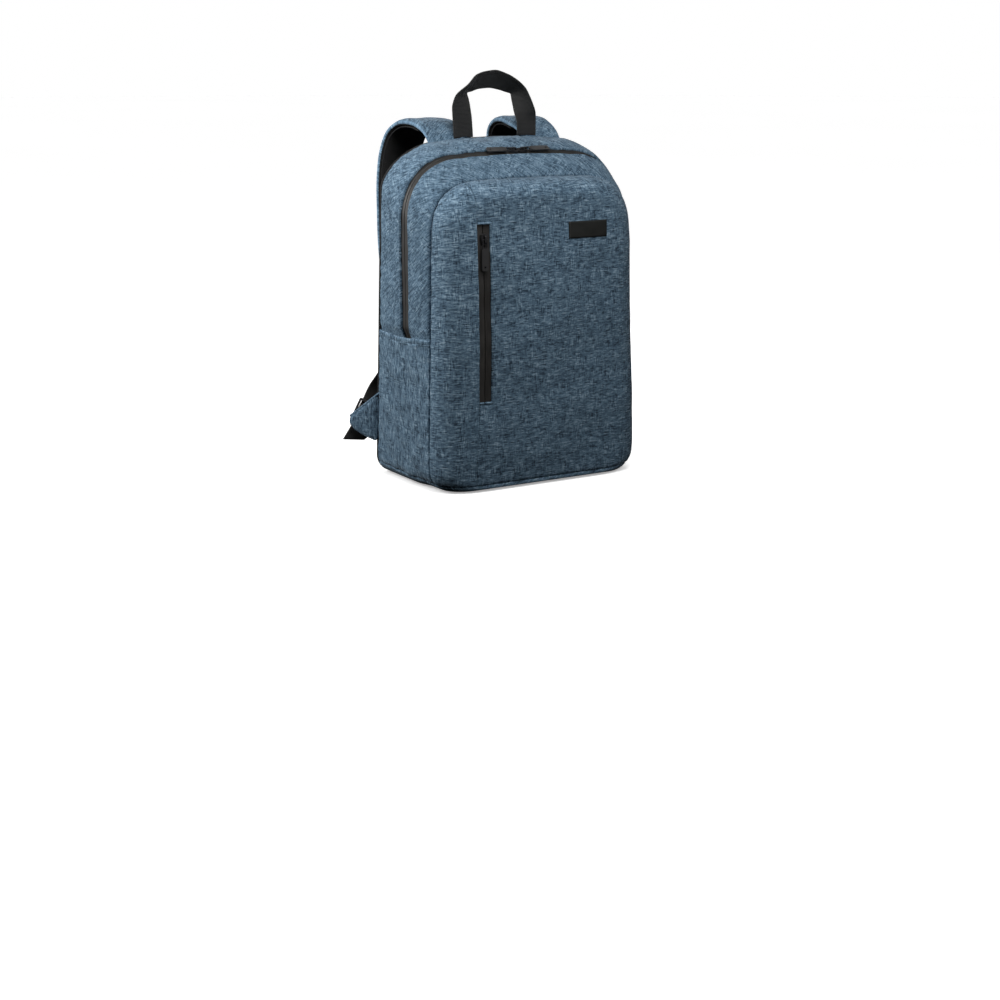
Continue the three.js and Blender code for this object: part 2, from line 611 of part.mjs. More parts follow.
const strapPoint = (row) => vec(row.x * HALF, REAR.yTop + row.back * STRAP_REACH, row.z * HEIGHT);
const strapEnd = strapPoint(STRAP_ROWS[STRAP_ROWS.length - 1]);

// Lower anchor, all for the right side: the wing is sewn into the rear side seam, the loop holds the
// ladder lock behind its tip, and the webbing runs from the pad through the lock to a free tail.
const wingDirection = vec(0.62, 0.78, 0).normalize();
const wingX = halfWidth(REAR, WING_LOW, 0, false);
const wingPoint = (out, z) => vec(wingX, seamY(REAR, z), z).addScaledVector(wingDirection, out * WING_REACH);
const wingBack = wingPoint(0, WING_HIGH).sub(wingPoint(0, WING_LOW)).cross(wingDirection).normalize();
// out is a share of WING_REACH, up a share of the way from WING_LOW to WING_HIGH
const WING_ROWS = [
  { out: -0.2, up: 0 },
  { out: 0, up: 0 },
  { out: 0.45, up: 0.1 },
  { out: 0.8, up: 0.21 },
  { out: 1, up: 0.36 },
  { out: 0.97, up: 0.49 },
  { out: 0, up: 1 },
  { out: -0.2, up: 1 },
];
const wingOutline = WING_ROWS.map(({ out, up }) => wingPoint(out, lerp(WING_LOW, WING_HIGH, up)));
const wingSolid = solid(loft([-0.5, 0.5].map((side) =>
  wingOutline.map((p) => p.clone().addScaledVector(wingBack, side * WING_THICK)))))
  .subtract(bagVolume(-CLEAR));

const LOCK_PLACE = { x: 0.964, back: 0.55, z: 0.177 };
const lockCentre = strapPoint(LOCK_PLACE);
const lockBack = vec(-0.55, 0.83, -0.1).normalize();
const lockUp = vec(-0.4, -0.156, 0.903);
lockUp.addScaledVector(lockBack, -lockUp.dot(lockBack)).normalize();
const lockWide = new THREE.Vector3().crossVectors(lockUp, lockBack).normalize();
const inLock = (up, back) => lockCentre.clone().addScaledVector(lockUp, up).addScaledVector(lockBack, back);

function lockGeometry() {
  const long = LOCK_LENGTH / 2;
  const wide = LOCK_WIDTH / 2;
  const shape = mirroredShape([[long, wide - LOCK_CORNER], [long - LOCK_CORNER, wide],
    [-long + LOCK_CORNER, wide], [-long, wide - LOCK_CORNER]]);
  const window = (low, high) => {
    const cut = new THREE.BoxGeometry(high - low, 2 * (wide - LOCK_BAR), 3 * LOCK_THICK);
    return solid(cut.translate((low + high) / 2, 0, LOCK_THICK / 2));
  };
  const lock = geometryOf(solid(extrude(shape, LOCK_THICK))
    .subtract(window(-long + LOCK_BAR, -LOCK_BAR / 2))
    .subtract(window(LOCK_BAR / 2, long - LOCK_BAR)));
  lock.translate(0, 0, -LOCK_THICK / 2);
  const frame = new THREE.Matrix4().makeBasis(lockUp, lockWide, lockUp.clone().cross(lockWide));
  frame.setPosition(lockCentre);
  return lock.applyMatrix4(frame);
}

// The loop lies on the wing in two layers and wraps the lock's lower bar in between.
// up is a share of LOCK_BAR above the bar's lower window edge, back a share of webOff.
const webOff = LOCK_THICK / 2 + CLEAR + WEB_THICK / 2;
const LOOP_ROWS = [
  { up: -4, layer: 0 }, { up: -2.667, layer: 0 },
  { up: -0.867, back: -1.08 }, { up: 0.1, back: -1.04 }, { up: 0.367, back: -0.76 },
  { up: 0.4, back: 0 },
  { up: 0.367, back: 0.76 }, { up: 0.1, back: 1.04 }, { up: -1.4, back: 1 },
  { up: -2.667, layer: 1 }, { up: -4, layer: 1 },
];
function loopGeometry() {
  const barLow = -LOCK_LENGTH / 2 + LOCK_BAR;
  const wingMiddle = wingPoint(0, lerp(WING_LOW, WING_HIGH, 0.3));
  const flatWide = lockWide.clone().addScaledVector(wingBack, -lockWide.dot(wingBack)).normalize();
  return band(LOOP_ROWS.map(({ up, back = 0, layer = null }) => {
    const here = inLock(barLow + up * LOCK_BAR, back * webOff);
    if (layer === null) return station(here, lockWide, LOOP_WIDTH / 2, WEB_THICK);
    const off = WING_THICK / 2 + CLEAR + WEB_THICK / 2 + layer * (WEB_THICK + CLEAR);
    here.addScaledVector(wingBack, off - here.clone().sub(wingMiddle).dot(wingBack));
    const face = wingBack.clone().multiplyScalar(1 - 2 * layer);
    return { ...station(here, flatWide, LOOP_WIDTH / 2, WEB_THICK), face };
  }), FLAT_BAND);
}

// Webbing rows in the lock's plane, in half lock lengths and webbing offsets from its middle
const WEBBING_ROWS = [
  { up: 4.2, back: 0.5 }, { up: 1.3, back: 1 }, { up: 1.04, back: 1 }, { up: 0.73, back: 1 },
  { up: 0.464, back: 0 }, { up: 0.186, back: -0.96 }, { up: 0, back: -1.08 }, { up: -0.186, back: -0.96 },
  { up: -0.4, back: 0 }, { up: -0.586, back: 1.16 }, { up: -0.714, back: 1.76 }, { up: -1, back: 1.96 },
];
// The free tail from the lock's lower end, in lock lengths along x, y and z
const TAIL_ROWS = [
  { x: 0.071, y: 0.071, z: -0.25 },
  { x: 0.25, y: 0.125, z: -0.5 },
  { x: 0.536, y: 0.125, z: -0.804 },
];
function webbingGeometry() {
  const padDown = strapEnd.clone().sub(strapPoint(STRAP_ROWS[STRAP_ROWS.length - 2])).normalize();
  const startWide = vec(-1, 0, 0);
  const lastRow = WEBBING_ROWS[WEBBING_ROWS.length - 1];
  const tailTop = inLock(lastRow.up * LOCK_LENGTH / 2, lastRow.back * webOff);
  const half = WEB_WIDTH / 2;
  const turned = (share) => startWide.clone().lerp(lockWide, clamp01(share));
  return band([
    ...[2 * CLEAR, WEB_LEAD].map((run) =>
      station(strapEnd.clone().addScaledVector(padDown, run), startWide, half, WEB_THICK)),
    ...WEBBING_ROWS.map(({ up, back }) => station(inLock(up * LOCK_LENGTH / 2, back * webOff),
      turned(WEB_TWIST.start - up / WEB_TWIST.run), half, WEB_THICK)),
    ...TAIL_ROWS.map(({ x, y, z }, i) =>
      station(tailTop.clone().addScaledVector(vec(x, y, z), LOCK_LENGTH),
        turned(1 - (i + 1) / (TAIL_ROWS.length + 1)), half, WEB_THICK)),
  ], FLAT_BAND);
}

const mirrored = (geometry) => {
  const copy = geometry.clone();
  copy.scale(-1, 1, 1);
  const index = copy.index ? Array.from(copy.index.array) : [...Array(copy.attributes.position.count).keys()];
  for (let i = 0; i < index.length; i += 3) {
    [index[i + 1], index[i + 2]] = [index[i + 2], index[i + 1]];
  }
  copy.setIndex(index);
  return copy;
};
const meshOffset = (STRAP_PAD + STRAP_MESH) / 2 + CLEAR;
const strapWide = ({ roll = 0 }) => vec(Math.cos(rad(roll)), 0, -Math.sin(rad(roll)));
const padStations = STRAP_ROWS.map((row) =>
  station(strapPoint(row), strapWide(row), row.wide * STRAP_WIDTH / 2, row.pad * STRAP_PAD));
const meshStations = padStations.map((pad) => ({
  ...pad,
  half: pad.half - MESH_INSET,
  thick: STRAP_MESH,
  lift: -meshOffset,
}));
const carryParts = [
  ['strap_pad', band(padStations, PADDED_BAND), CLOTH_BLUE],
  ['strap_mesh', band(meshStations, FLAT_BAND, MESH_FROM, MESH_TO), MESH_BLACK],
  ['anchor_wing', geometryOf(wingSolid), CLOTH_BLUE],
  ['anchor_loop', loopGeometry(), WEB_BLACK],
  ['ladder_lock', lockGeometry(), PLASTIC_BLACK],
  ['lower_webbing', webbingGeometry(), WEB_BLACK],
];
for (const [name, geometry, finish] of carryParts) {
  add(`${name}_left`, mirrored(geometry), finish);
  add(`${name}_right`, geometry, finish);
}

export default group;
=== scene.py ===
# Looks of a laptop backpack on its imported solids. Metres, +Z up, -Y the front, +X the right.
import math

import bmesh
import bpy
import numpy as np
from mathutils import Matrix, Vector
from mathutils.bvhtree import BVHTree


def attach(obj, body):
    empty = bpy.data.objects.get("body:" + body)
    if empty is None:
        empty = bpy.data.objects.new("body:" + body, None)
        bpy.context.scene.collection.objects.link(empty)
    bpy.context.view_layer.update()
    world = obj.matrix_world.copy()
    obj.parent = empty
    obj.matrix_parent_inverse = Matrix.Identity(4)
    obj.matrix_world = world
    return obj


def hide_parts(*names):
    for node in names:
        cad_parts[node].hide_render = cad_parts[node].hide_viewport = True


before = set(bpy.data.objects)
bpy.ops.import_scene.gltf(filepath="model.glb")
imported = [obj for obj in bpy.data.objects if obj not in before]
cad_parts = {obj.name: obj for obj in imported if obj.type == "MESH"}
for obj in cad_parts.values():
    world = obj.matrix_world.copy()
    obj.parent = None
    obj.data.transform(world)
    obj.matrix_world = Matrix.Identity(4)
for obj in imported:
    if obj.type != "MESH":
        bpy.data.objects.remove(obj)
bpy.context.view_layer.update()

# Sizes of the bag, in metres, as in the solids
HALF = 0.164
HEIGHT = 0.430
DEPTH = 0.163
CLOTH = 0.0022
CLEAR = 0.0003
FRONT_EDGE = 0.042
FRONT_EDGE_TOP = 0.022
FRONT_EDGE_FOOT = 0.004
FACE_SWELL = 0.003
BACK_EDGE = 0.009
BACK_SWELL = 0.002
FOOT = 0.024
PINCH = 0.006
PINCH_HEIGHT = 0.045
BASE_SEAM = 0.0114
BASE_RISE = 0.043
POCKET_TOP = 0.192
HEM = 0.008
HEM_PROUD = 0.0008
POCKET_CLOTH = 0.002
POCKET_ROOM = 0.0085
LINER_TOP = 0.170
ZIP_GAP = 0.015
TAPE_SEAM = 0.006
SEAM_X = -0.097
ZIP_RIGHT = -0.080
ZIP_LOW = 0.114
ZIP_HIGH = 0.332
PATCH = (0.0615, 0.3195, 0.057, 0.021)
HANDLE_WEB = 0.028
WEB_WIDTH = 0.030
STRAP_WIDTH = 0.061
STRAP_PAD = 0.009
STRAP_REACH = 0.110
LINING = 0.0016

# Outlines at the front seam, the zip and the rear seam, as shares of SCALES in the order of KEYS
KEYS = ("y_base", "y_top", "half_base", "half_top", "top", "corner_x", "corner_z", "crown", "square")
SCALES = (DEPTH, DEPTH, HALF, HALF, HEIGHT, HALF, HEIGHT, HEIGHT, 1.0)
FRONT = (-0.294, -0.245, 0.933, 0.86, 0.893, 0.445, 0.153, 0.002, 2.5)
ZIP = (0.025, -0.021, 0.945, 0.976, 0.963, 0.494, 0.19, 0.007, 2.25)
REAR = (0.515, 0.258, 0.954, 1.0, 1.0, 0.488, 0.133, 0.008, 1.75)
FACE = (-0.485, -0.472)


def clamp(value):
    return np.clip(value, 0.0, 1.0)


def lerp(a, b, t):
    return a + (b - a) * t


# Section values at a station v: 0 is the front seam, 0.5 the zip and 1 the rear seam
def section(v):
    v = np.asarray(v, dtype=float)
    a, b, c = 2 * (v - 0.5) * (v - 1), 4 * v * (1 - v), 2 * v * (v - 0.5)
    found = {"v": v}
    for key, scale, f, z, r in zip(KEYS, SCALES, FRONT, ZIP, REAR):
        if key in ("y_base", "y_top"):
            value = np.where(v < 0.5, lerp(f, z, v * 2), lerp(z, r, v * 2 - 1))
        else:
            value = a * f + b * z + c * r
        found[key] = value * scale
    return found


def seam_y(s, z):
    return lerp(s["y_base"], s["y_top"], z / s["top"])


def face_y(z):
    return lerp(FACE[0], FACE[1], z / (FRONT[4] * HEIGHT)) * DEPTH


# How far the gusset steps in behind the side pocket
def liner_depth(z, v):
    below = POCKET_TOP - z
    foot = clamp((z - FOOT) / FOOT)
    across = np.sin(math.pi * clamp(v)) ** 0.6
    step = HEM_PROUD + POCKET_CLOTH + CLEAR
    return clamp(below / 0.008 + 1) * step + POCKET_ROOM * clamp(below / 0.030) * foot * across


def half_width(s, z, lined=False):
    slope = lerp(s["half_base"], s["half_top"], z / s["top"])
    pinch = PINCH * clamp(1 - z / PINCH_HEIGHT) ** 2 * clamp((0.44 - s["v"]) / 0.22)
    liner = liner_depth(z, s["v"]) if lined else 0.0
    return slope - pinch - liner


# Half outline of a section, x >= 0: q runs -2..-1 along the bottom, -1..0 round the foot,
# 0..1 up the side, 1..2 round the top corner and 2..3 along the top to the middle
def outline(v, q, low=FOOT, lined=False, shrink=(0.0, 0.0, 0.0)):
    s = section(v)
    in_x, in_top, in_foot = shrink
    top = s["top"] - s["crown"] - in_top
    corner_x = s["corner_x"] - 0.5 * in_x
    corner_z = s["corner_z"] - 0.3 * in_top
    bottom, foot = clamp(q + 2), clamp(q + 1) * math.pi / 2
    side, corner, flat = clamp(q), clamp(q - 1) * math.pi / 2, clamp(q - 2)
    low = low + in_foot
    z = in_foot + FOOT * (1 - np.cos(foot))
    power = 2 / s["square"]
    z = np.where(q > 0, low + (top - corner_z - low) * side + corner_z * np.sin(corner) ** power, z)
    z = np.where(q > 2, top + s["crown"] * (1 - (1 - flat) ** 2), z)
    half = half_width(s, np.minimum(z, top), lined) - in_x
    x = half - FOOT * (1 - np.sin(foot))
    x = np.where(q < -1, x * bottom, x)
    x = np.where(q > 0, half - corner_x * (1 - np.cos(corner) ** power), x)
    x = np.where(q > 2, (half - corner_x) * (1 - flat), x)
    return x, z, s


# Values of q that lie evenly along the outline at a middle station
def even(start, stop, count, low=FOOT, v=0.3):
    q = np.linspace(start, stop, 3000)
    x, z, _ = outline(np.full_like(q, v), q, low)
    run = np.concatenate([[0], np.cumsum(np.hypot(np.diff(x), np.diff(z)))])
    return np.interp(np.linspace(0, run[-1], count), run, q)


def both_sides(x, z, y):
    left = np.stack([-x, y, z], -1)
    right = np.stack([x, y, z], -1)[:, ::-1][:, 1:]
    return np.concatenate([left, right], 1)


def run_along(points, axis):
    step = np.linalg.norm(np.diff(points, axis=axis), axis=-1)
    pad = [(0, 0)] * step.ndim
    pad[axis] = (1, 0)
    return np.pad(np.cumsum(step, axis=axis), pad)


def unit(v):
    return v / np.maximum(np.linalg.norm(v, axis=-1, keepdims=True), 1e-12)


BAG_MIDDLE = (0, 0, 0.2)


def grid_normals(points):
    du = np.gradient(points, axis=0)
    dv = np.gradient(points, axis=1)
    n = unit(np.cross(du, dv))
    if np.mean(np.sum(n * (points - np.array(BAG_MIDDLE)), -1)) < 0:
        n = -n
    return n


# Smooth seeded ripples of about unit height over two lengths
def waves(a, b, length, seed, count=9, stretch=1.0):
    rng = np.random.default_rng(seed)
    total = 0.0
    for _ in range(count):
        turn, size, shift = rng.uniform(0, math.tau), rng.uniform(0.7, 1.5), rng.uniform(0, math.tau)
        k = math.tau / (length * size)
        total = total + np.sin(k * (a * math.cos(turn) / stretch + b * math.sin(turn)) + shift)
    return total / math.sqrt(count / 2)


# How deep a rolled border lies below the surface at a distance from its seam
def roll(distance, radius=0.0029):
    inside = np.clip(radius - distance, 0, radius)
    return radius - np.sqrt(np.maximum(radius * radius - inside * inside, 0))


ROLL_STEPS = np.array([0, 0.12, 0.3, 0.6, 1.0, 1.5, 2.1, 3.0, 4.2, 5.8]) * 0.001


# Shares from one border of a band to the other, close together at both and evenly apart between
def rows_across(width, middle):
    start = ROLL_STEPS / width
    stop = 1 - ROLL_STEPS[::-1] / width
    inner = np.linspace(start[-1], stop[0], middle + 2)[1:-1]
    return np.concatenate([start, inner, stop])


# Mesh helpers
def mesh_object(name, points, faces, uv=None, finish=None):
    mesh = bpy.data.meshes.new(name)
    mesh.from_pydata([tuple(p) for p in np.asarray(points, float).reshape(-1, 3)], [], faces)
    if uv is not None:
        layer = mesh.uv_layers.new(name="metres")
        index = np.empty(len(mesh.loops), dtype=np.int64)
        mesh.loops.foreach_get("vertex_index", index)
        layer.data.foreach_set("uv", np.asarray(uv, float).reshape(-1, 2)[index].astype(np.float32).ravel())
    mesh.polygons.foreach_set("use_smooth", [True] * len(mesh.polygons))
    mesh.update()
    made = bpy.data.objects.new(name, mesh)
    bpy.context.scene.collection.objects.link(made)
    if finish is not None:
        mesh.materials.append(finish)
    return made


def grid_faces(rows, cols, flip=False, wrap=False):
    faces = []
    for r in range(rows - 1):
        for c in range(cols if wrap else cols - 1):
            d = (c + 1) % cols
            quad = (r * cols + c, r * cols + d, (r + 1) * cols + d, (r + 1) * cols + c)
            faces.append(quad[::-1] if flip else quad)
    return faces


# Whether the grid's faces have to be turned round to look along its normals
def needs_flip(points, normals):
    a = points[1:, :-1] - points[:-1, :-1]
    b = points[:-1, 1:] - points[:-1, :-1]
    return float(np.sum(np.cross(b, a) * normals[:-1, :-1])) < 0


# A cloth panel from a grid of points, with its far side and borders closed when thick is given
def panel(name, points, uv, finish, normals=None, thick=0.0):
    rows, cols = points.shape[:2]
    n = grid_normals(points) if normals is None else normals
    flip = needs_flip(points, n)
    faces = grid_faces(rows, cols, flip)
    if not thick:
        return mesh_object(name, points, faces, uv, finish)
    count = rows * cols
    inner = points - n * thick
    faces += [tuple(i + count for i in face[::-1]) for face in grid_faces(rows, cols, flip)]
    border = [*range(cols), *[r * cols + cols - 1 for r in range(1, rows)]]
    border += [*[(rows - 1) * cols + c for c in range(cols - 2, -1, -1)]]
    border += [*[r * cols for r in range(rows - 2, 0, -1)]]
    for i, a in enumerate(border):
        b = border[(i + 1) % len(border)]
        quad = (a, a + count, b + count, b)
        faces.append(quad[::-1] if flip else quad)
    both = np.concatenate([points.reshape(-1, 3), inner.reshape(-1, 3)])
    return mesh_object(name, both, faces, np.concatenate([uv.reshape(-1, 2)] * 2), finish)


def outward(made):
    work = bmesh.new()
    work.from_mesh(made.data)
    bmesh.ops.recalc_face_normals(work, faces=work.faces[:])
    work.to_mesh(made.data)
    work.free()


# A closed tube through rings of points, with flat ends
def tube(name, rings, uv, finish):
    rows, cols = rings.shape[:2]
    faces = grid_faces(rows, cols, wrap=True)
    faces += [tuple(range(cols)), tuple(range(rows * cols - 1, (rows - 1) * cols - 1, -1))]
    made = mesh_object(name, rings, faces, uv, finish)
    outward(made)
    return made


def place(made, *nodes, slot, body="bag"):
    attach(made, body)
    if nodes:
        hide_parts(*nodes)
    return made


def work_on(points, faces, uv):
    work = bmesh.new()
    made = mesh_object("work", points, faces, uv)
    work.from_mesh(made.data)
    bpy.data.objects.remove(made)
    return work


def work_object(work, name, finish):
    for f in work.faces:
        f.smooth = True
    mesh = bpy.data.meshes.new(name)
    work.to_mesh(mesh)
    work.free()
    mesh.materials.append(finish)
    made = bpy.data.objects.new(name, mesh)
    bpy.context.scene.collection.objects.link(made)
    return made


def cut(work, point, normal, clear_above=False, near=None):
    geometry = work.verts[:] + work.edges[:] + work.faces[:]
    if near is not None:
        faces = [f for f in work.faces if near(f.calc_center_median())]
        edges = {e for f in faces for e in f.edges}
        verts = {v for f in faces for v in f.verts}
        geometry = list(verts) + list(edges) + faces
    bmesh.ops.bisect_plane(work, geom=geometry, dist=1e-7, plane_co=point, plane_no=normal,
                           clear_outer=clear_above, clear_inner=False)


# Node helpers for the materials
class Surface:
    def __init__(self, name, color, roughness, **sockets):
        self.material = bpy.data.materials.new(name)
        self.material.use_nodes = True
        self.tree = self.material.node_tree
        self.shader = self.tree.nodes["Principled BSDF"]
        self.shader.inputs["Roughness"].default_value = roughness
        self.shader.inputs["Base Color"].default_value = (*color, 1)
        for key, value in sockets.items():
            self.shader.inputs[key.replace("_", " ")].default_value = value

    def node(self, kind, *inputs, **settings):
        made = self.tree.nodes.new(kind)
        for key, value in settings.items():
            setattr(made, key, value)
        for i, value in enumerate(inputs):
            self.feed(made.inputs[i], value)
        return made

    def feed(self, socket, value):
        if value is None:
            return
        if isinstance(value, bpy.types.NodeSocket):
            self.tree.links.new(value, socket)
        else:
            socket.default_value = value

    def math(self, operation, a, b=0.0, c=None):
        return self.node("ShaderNodeMath", a, b, c, operation=operation).outputs[0]

    def add(self, total, *others):
        for value in others:
            total = self.math("ADD", total, value)
        return total

    def times(self, a, b):
        return self.math("MULTIPLY", a, b)

    def wave(self, value, length):
        return self.math("SINE", self.times(value, math.tau / length))

    def mapped(self, scale, turn=0.0, uv=True):
        source = self.node("ShaderNodeTexCoord").outputs["UV" if uv else "Object"]
        move = self.node("ShaderNodeMapping", source)
        move.inputs["Rotation"].default_value = (0, 0, turn)
        return self.node("ShaderNodeVectorMath", move.outputs[0], scale, operation="MULTIPLY").outputs[0]

    def plane(self, turn=0.0):
        split = self.node("ShaderNodeSeparateXYZ", self.mapped((1, 1, 0), turn))
        return split.outputs[0], split.outputs[1]

    def noise(self, vector, detail=2.0, roughness=0.5):
        made = self.node("ShaderNodeTexNoise", vector)
        made.inputs["Scale"].default_value = 1.0
        made.inputs["Detail"].default_value = detail
        made.inputs["Roughness"].default_value = roughness
        return made.outputs["Fac"]

    def grain(self, scale, detail=2.0, roughness=0.5, turn=0.0, uv=True):
        return self.noise(self.mapped(scale, turn, uv), detail, roughness)

    def stretch_range(self, value, low, high, to_low=0.0, to_high=1.0):
        return self.node("ShaderNodeMapRange", value, low, high, to_low, to_high, clamp=True).outputs[0]

    def ramp(self, value, *stops):
        made = self.node("ShaderNodeValToRGB", value)
        line = made.color_ramp
        while len(line.elements) < len(stops):
            line.elements.new(0.5)
        for element, (where, color) in zip(line.elements, stops):
            element.position = where
            element.color = (*color, 1)
        return made.outputs[0]

    def color(self, socket):
        self.feed(self.shader.inputs["Base Color"], socket)

    def rough(self, socket):
        self.feed(self.shader.inputs["Roughness"], socket)

    def bump(self, height, distance, strength=1.0):
        made = self.node("ShaderNodeBump")
        made.inputs["Strength"].default_value = strength
        made.inputs["Distance"].default_value = distance
        self.feed(made.inputs["Height"], height)
        self.feed(self.shader.inputs["Normal"], made.outputs[0])


# Blue heather polyester: slubbed yarns in two directions over a plain weave
HEATHER = ((0.06, (0.020, 0.038, 0.060)), (0.42, (0.084, 0.144, 0.209)),
           (0.62, (0.146, 0.236, 0.325)), (0.98, (0.340, 0.470, 0.585)))
WEAVE = 0.0009


def heather(name, turn=0.0, along=1.0, across=0.6, light=1.0):
    s = Surface(name, HEATHER[1][1], 0.9, Sheen_Weight=0.08, Sheen_Roughness=0.45, Specular_IOR_Level=0.2)
    warp, weft = s.plane(turn)

    def yarns(run, step, seed, length=0.011, pitch=0.00125):
        row = s.add(s.times(s.math("FLOOR", s.math("DIVIDE", step, pitch)), 7.31), seed)
        spot = s.node("ShaderNodeCombineXYZ", s.math("DIVIDE", run, length), row, seed)
        return s.noise(spot.outputs[0], 2.0, 0.6)

    level = yarns(warp, weft, 3.0)
    thin = yarns(warp, weft, 29.0, 0.0045, 0.0007)
    upright = yarns(weft, warp, 17.0)
    patchy = s.grain((60, 60, 0), turn=turn)
    gate = s.stretch_range(s.grain((70, 70, 3), 1.0, turn=turn), 0.35, 0.62)
    a = s.stretch_range(level, 0.25, 0.75, -0.75 * along, 0.75 * along)
    b = s.times(s.stretch_range(upright, 0.25, 0.75, -0.75 * across, 0.75 * across), gate)
    c = s.stretch_range(thin, 0.3, 0.7, -0.30, 0.30)
    d = s.stretch_range(patchy, 0.25, 0.75, -0.14, 0.14)
    total = s.add(a, b, s.add(c, d))
    shade = s.math("MULTIPLY_ADD", total, 0.62, 0.5)
    s.color(s.ramp(shade, *((where, tuple(light * x for x in tint)) for where, tint in HEATHER)))
    weave = s.times(s.wave(warp, WEAVE), s.wave(weft, WEAVE))
    s.bump(s.add(s.times(weave, 0.35), total), 0.00018, 0.8)
    s.rough(s.stretch_range(level, 0.3, 0.7, 0.94, 0.80))
    return s.material


# Black webbing: ribs across, a herringbone fleck and paler long edges
def webbing(name, width, rib=0.0016, level=0.021):
    s = Surface(name, (level,) * 3, 0.72, Sheen_Weight=0.15, Sheen_Roughness=0.5, Specular_IOR_Level=0.3)
    across, run = s.plane()
    from_middle = s.math("ABSOLUTE", across)
    rows, lines = s.wave(run, rib), s.wave(across, 0.0013)
    twill = s.wave(s.add(from_middle, run), 0.003)
    fleck = s.grain((500, 1500, 0), 3.0, 0.65)
    soft = s.grain((40, 25, 0))
    edge = s.stretch_range(from_middle, width * 0.46, width * 0.5)
    tone = s.add(s.stretch_range(fleck, 0.35, 0.75, 0.0, 0.55), s.stretch_range(soft, 0.3, 0.7, 0.0, 0.25),
                 s.times(s.add(rows, twill), 0.06), s.times(edge, 0.22))
    stops = ((0.0, (0.55, 0.55, 0.56)), (0.45, (1, 1, 1)), (1.0, (2.6, 2.55, 2.5)))
    s.color(s.ramp(tone, *((where, tuple(level * x for x in tint)) for where, tint in stops)))
    s.bump(s.add(rows, s.times(lines, 0.6), fleck), 0.00022, 0.8)
    s.rough(s.stretch_range(fleck, 0.3, 0.7, 0.62, 0.82))
    return s.material


# Black spacer mesh: small round pores in offset rows
def air_mesh(name):
    s = Surface(name, (0.01, 0.01, 0.011), 0.85, Sheen_Weight=0.12, Sheen_Roughness=0.5,
                Specular_IOR_Level=0.2)
    cells = s.node("ShaderNodeTexVoronoi", s.mapped((420, 560, 0)), feature="F1")
    cells.inputs["Randomness"].default_value = 0.18
    pore = s.stretch_range(cells.outputs["Distance"], 0.12, 0.42)
    fibre = s.grain((2600, 2600, 0))
    soft = s.grain((30, 30, 0))
    tone = s.add(s.times(pore, 0.6), s.times(s.add(fibre, soft), 0.25))
    s.color(s.ramp(tone, (0.1, (0.002, 0.002, 0.002)), (0.6, (0.012, 0.012, 0.013)),
                   (1.0, (0.034, 0.035, 0.037))))
    s.bump(s.add(pore, s.times(fibre, 0.2)), 0.0005, 0.9)
    return s.material


# Coated zip tape: satin black with fine ribs along the teeth and a painted brown-grey sheen
def coated_tape(name):
    s = Surface(name, (0.017, 0.016, 0.015), 0.36, Specular_IOR_Level=0.5, Coat_Weight=0.12,
                Coat_Roughness=0.3)
    painted_sheen_streaks = s.grain((60, 900, 0))
    painted_sheen_patches = s.grain((8, 90, 0))
    along, across = s.plane()
    near = s.stretch_range(s.math("ABSOLUTE", across), 0.0018, 0.0034, 1.0, 0.0)
    ribs = s.times(s.wave(along, 0.0022), near)
    # The tone paints a brown-grey satin sheen into the colour, in long streaks and broad patches
    tone = s.add(s.times(painted_sheen_streaks, 0.6), s.times(painted_sheen_patches, 0.5))
    s.color(s.ramp(tone, (0.3, (0.015, 0.014, 0.013)), (0.6, (0.026, 0.024, 0.022)),
                   (0.85, (0.048, 0.044, 0.039))))
    s.bump(s.add(s.times(ribs, 0.5), s.times(painted_sheen_streaks, 0.35)), 0.0001, 0.8)
    s.rough(s.stretch_range(painted_sheen_streaks, 0.3, 0.7, 0.50, 0.66))
    return s.material


def patch_finish(name):
    s = Surface(name, (0.014, 0.014, 0.014), 0.55, Specular_IOR_Level=0.4)
    grain = s.grain((1400, 1400, 0), 3.0, 0.6)
    soft = s.grain((60, 90, 0))
    tone = s.add(s.times(grain, 0.5), s.times(soft, 0.5))
    s.color(s.ramp(tone, (0.3, (0.010, 0.011, 0.010)), (0.7, (0.019, 0.0195, 0.018))))
    s.bump(grain, 0.00012, 0.7)
    s.rough(s.stretch_range(soft, 0.3, 0.7, 0.48, 0.62))
    return s.material


# Hard small parts, from object coordinates, paler on their sharp edges
def hard(name, dark, pale, rough_low, rough_high, metallic=0.0):
    s = Surface(name, dark, rough_high, Metallic=metallic, Specular_IOR_Level=0.5)
    fine = s.grain((900, 900, 900), 3.0, 0.6, uv=False)
    wide = s.grain((120, 120, 120), uv=False)
    shape = s.node("ShaderNodeNewGeometry")
    sharp_edge_paling = s.stretch_range(shape.outputs["Pointiness"], 0.52, 0.60)
    tone = s.add(s.times(fine, 0.35), s.add(s.times(wide, 0.25), sharp_edge_paling))
    s.color(s.ramp(tone, (0.2, dark), (0.95, pale)))
    s.bump(fine, 0.00006, 0.6)
    s.rough(s.stretch_range(s.add(fine, wide), 0.7, 1.3, rough_low, rough_high))
    return s.material


CLOTH_FRONT = heather("heather_front", 0.0, 0.9, 0.9)
CLOTH_SIDE = heather("heather_side", math.pi / 2, 0.9, 0.8)
CLOTH_BIAS = heather("heather_bias", math.radians(42), 0.75, 0.75)
CLOTH_STRAP = heather("heather_strap", math.radians(-40), 0.8, 0.7)
CLOTH_EDGE = heather("heather_edge", math.radians(-40), 0.5, 0.5, 1.5)
TAPE_FINISH = coated_tape("coated_tape")
HANDLE_FINISH = webbing("handle_webbing", HANDLE_WEB)
WEB_FINISH = webbing("strap_webbing", WEB_WIDTH)
MESH_FINISH = air_mesh("air_mesh")
PATCH_FINISH = patch_finish("patch_rubber")
METAL_FINISH = hard("dark_metal", (0.014, 0.014, 0.015), (0.10, 0.10, 0.105), 0.26, 0.42, 0.75)
PULL_FINISH = hard("pull_rubber", (0.010, 0.010, 0.010), (0.035, 0.035, 0.036), 0.42, 0.58)
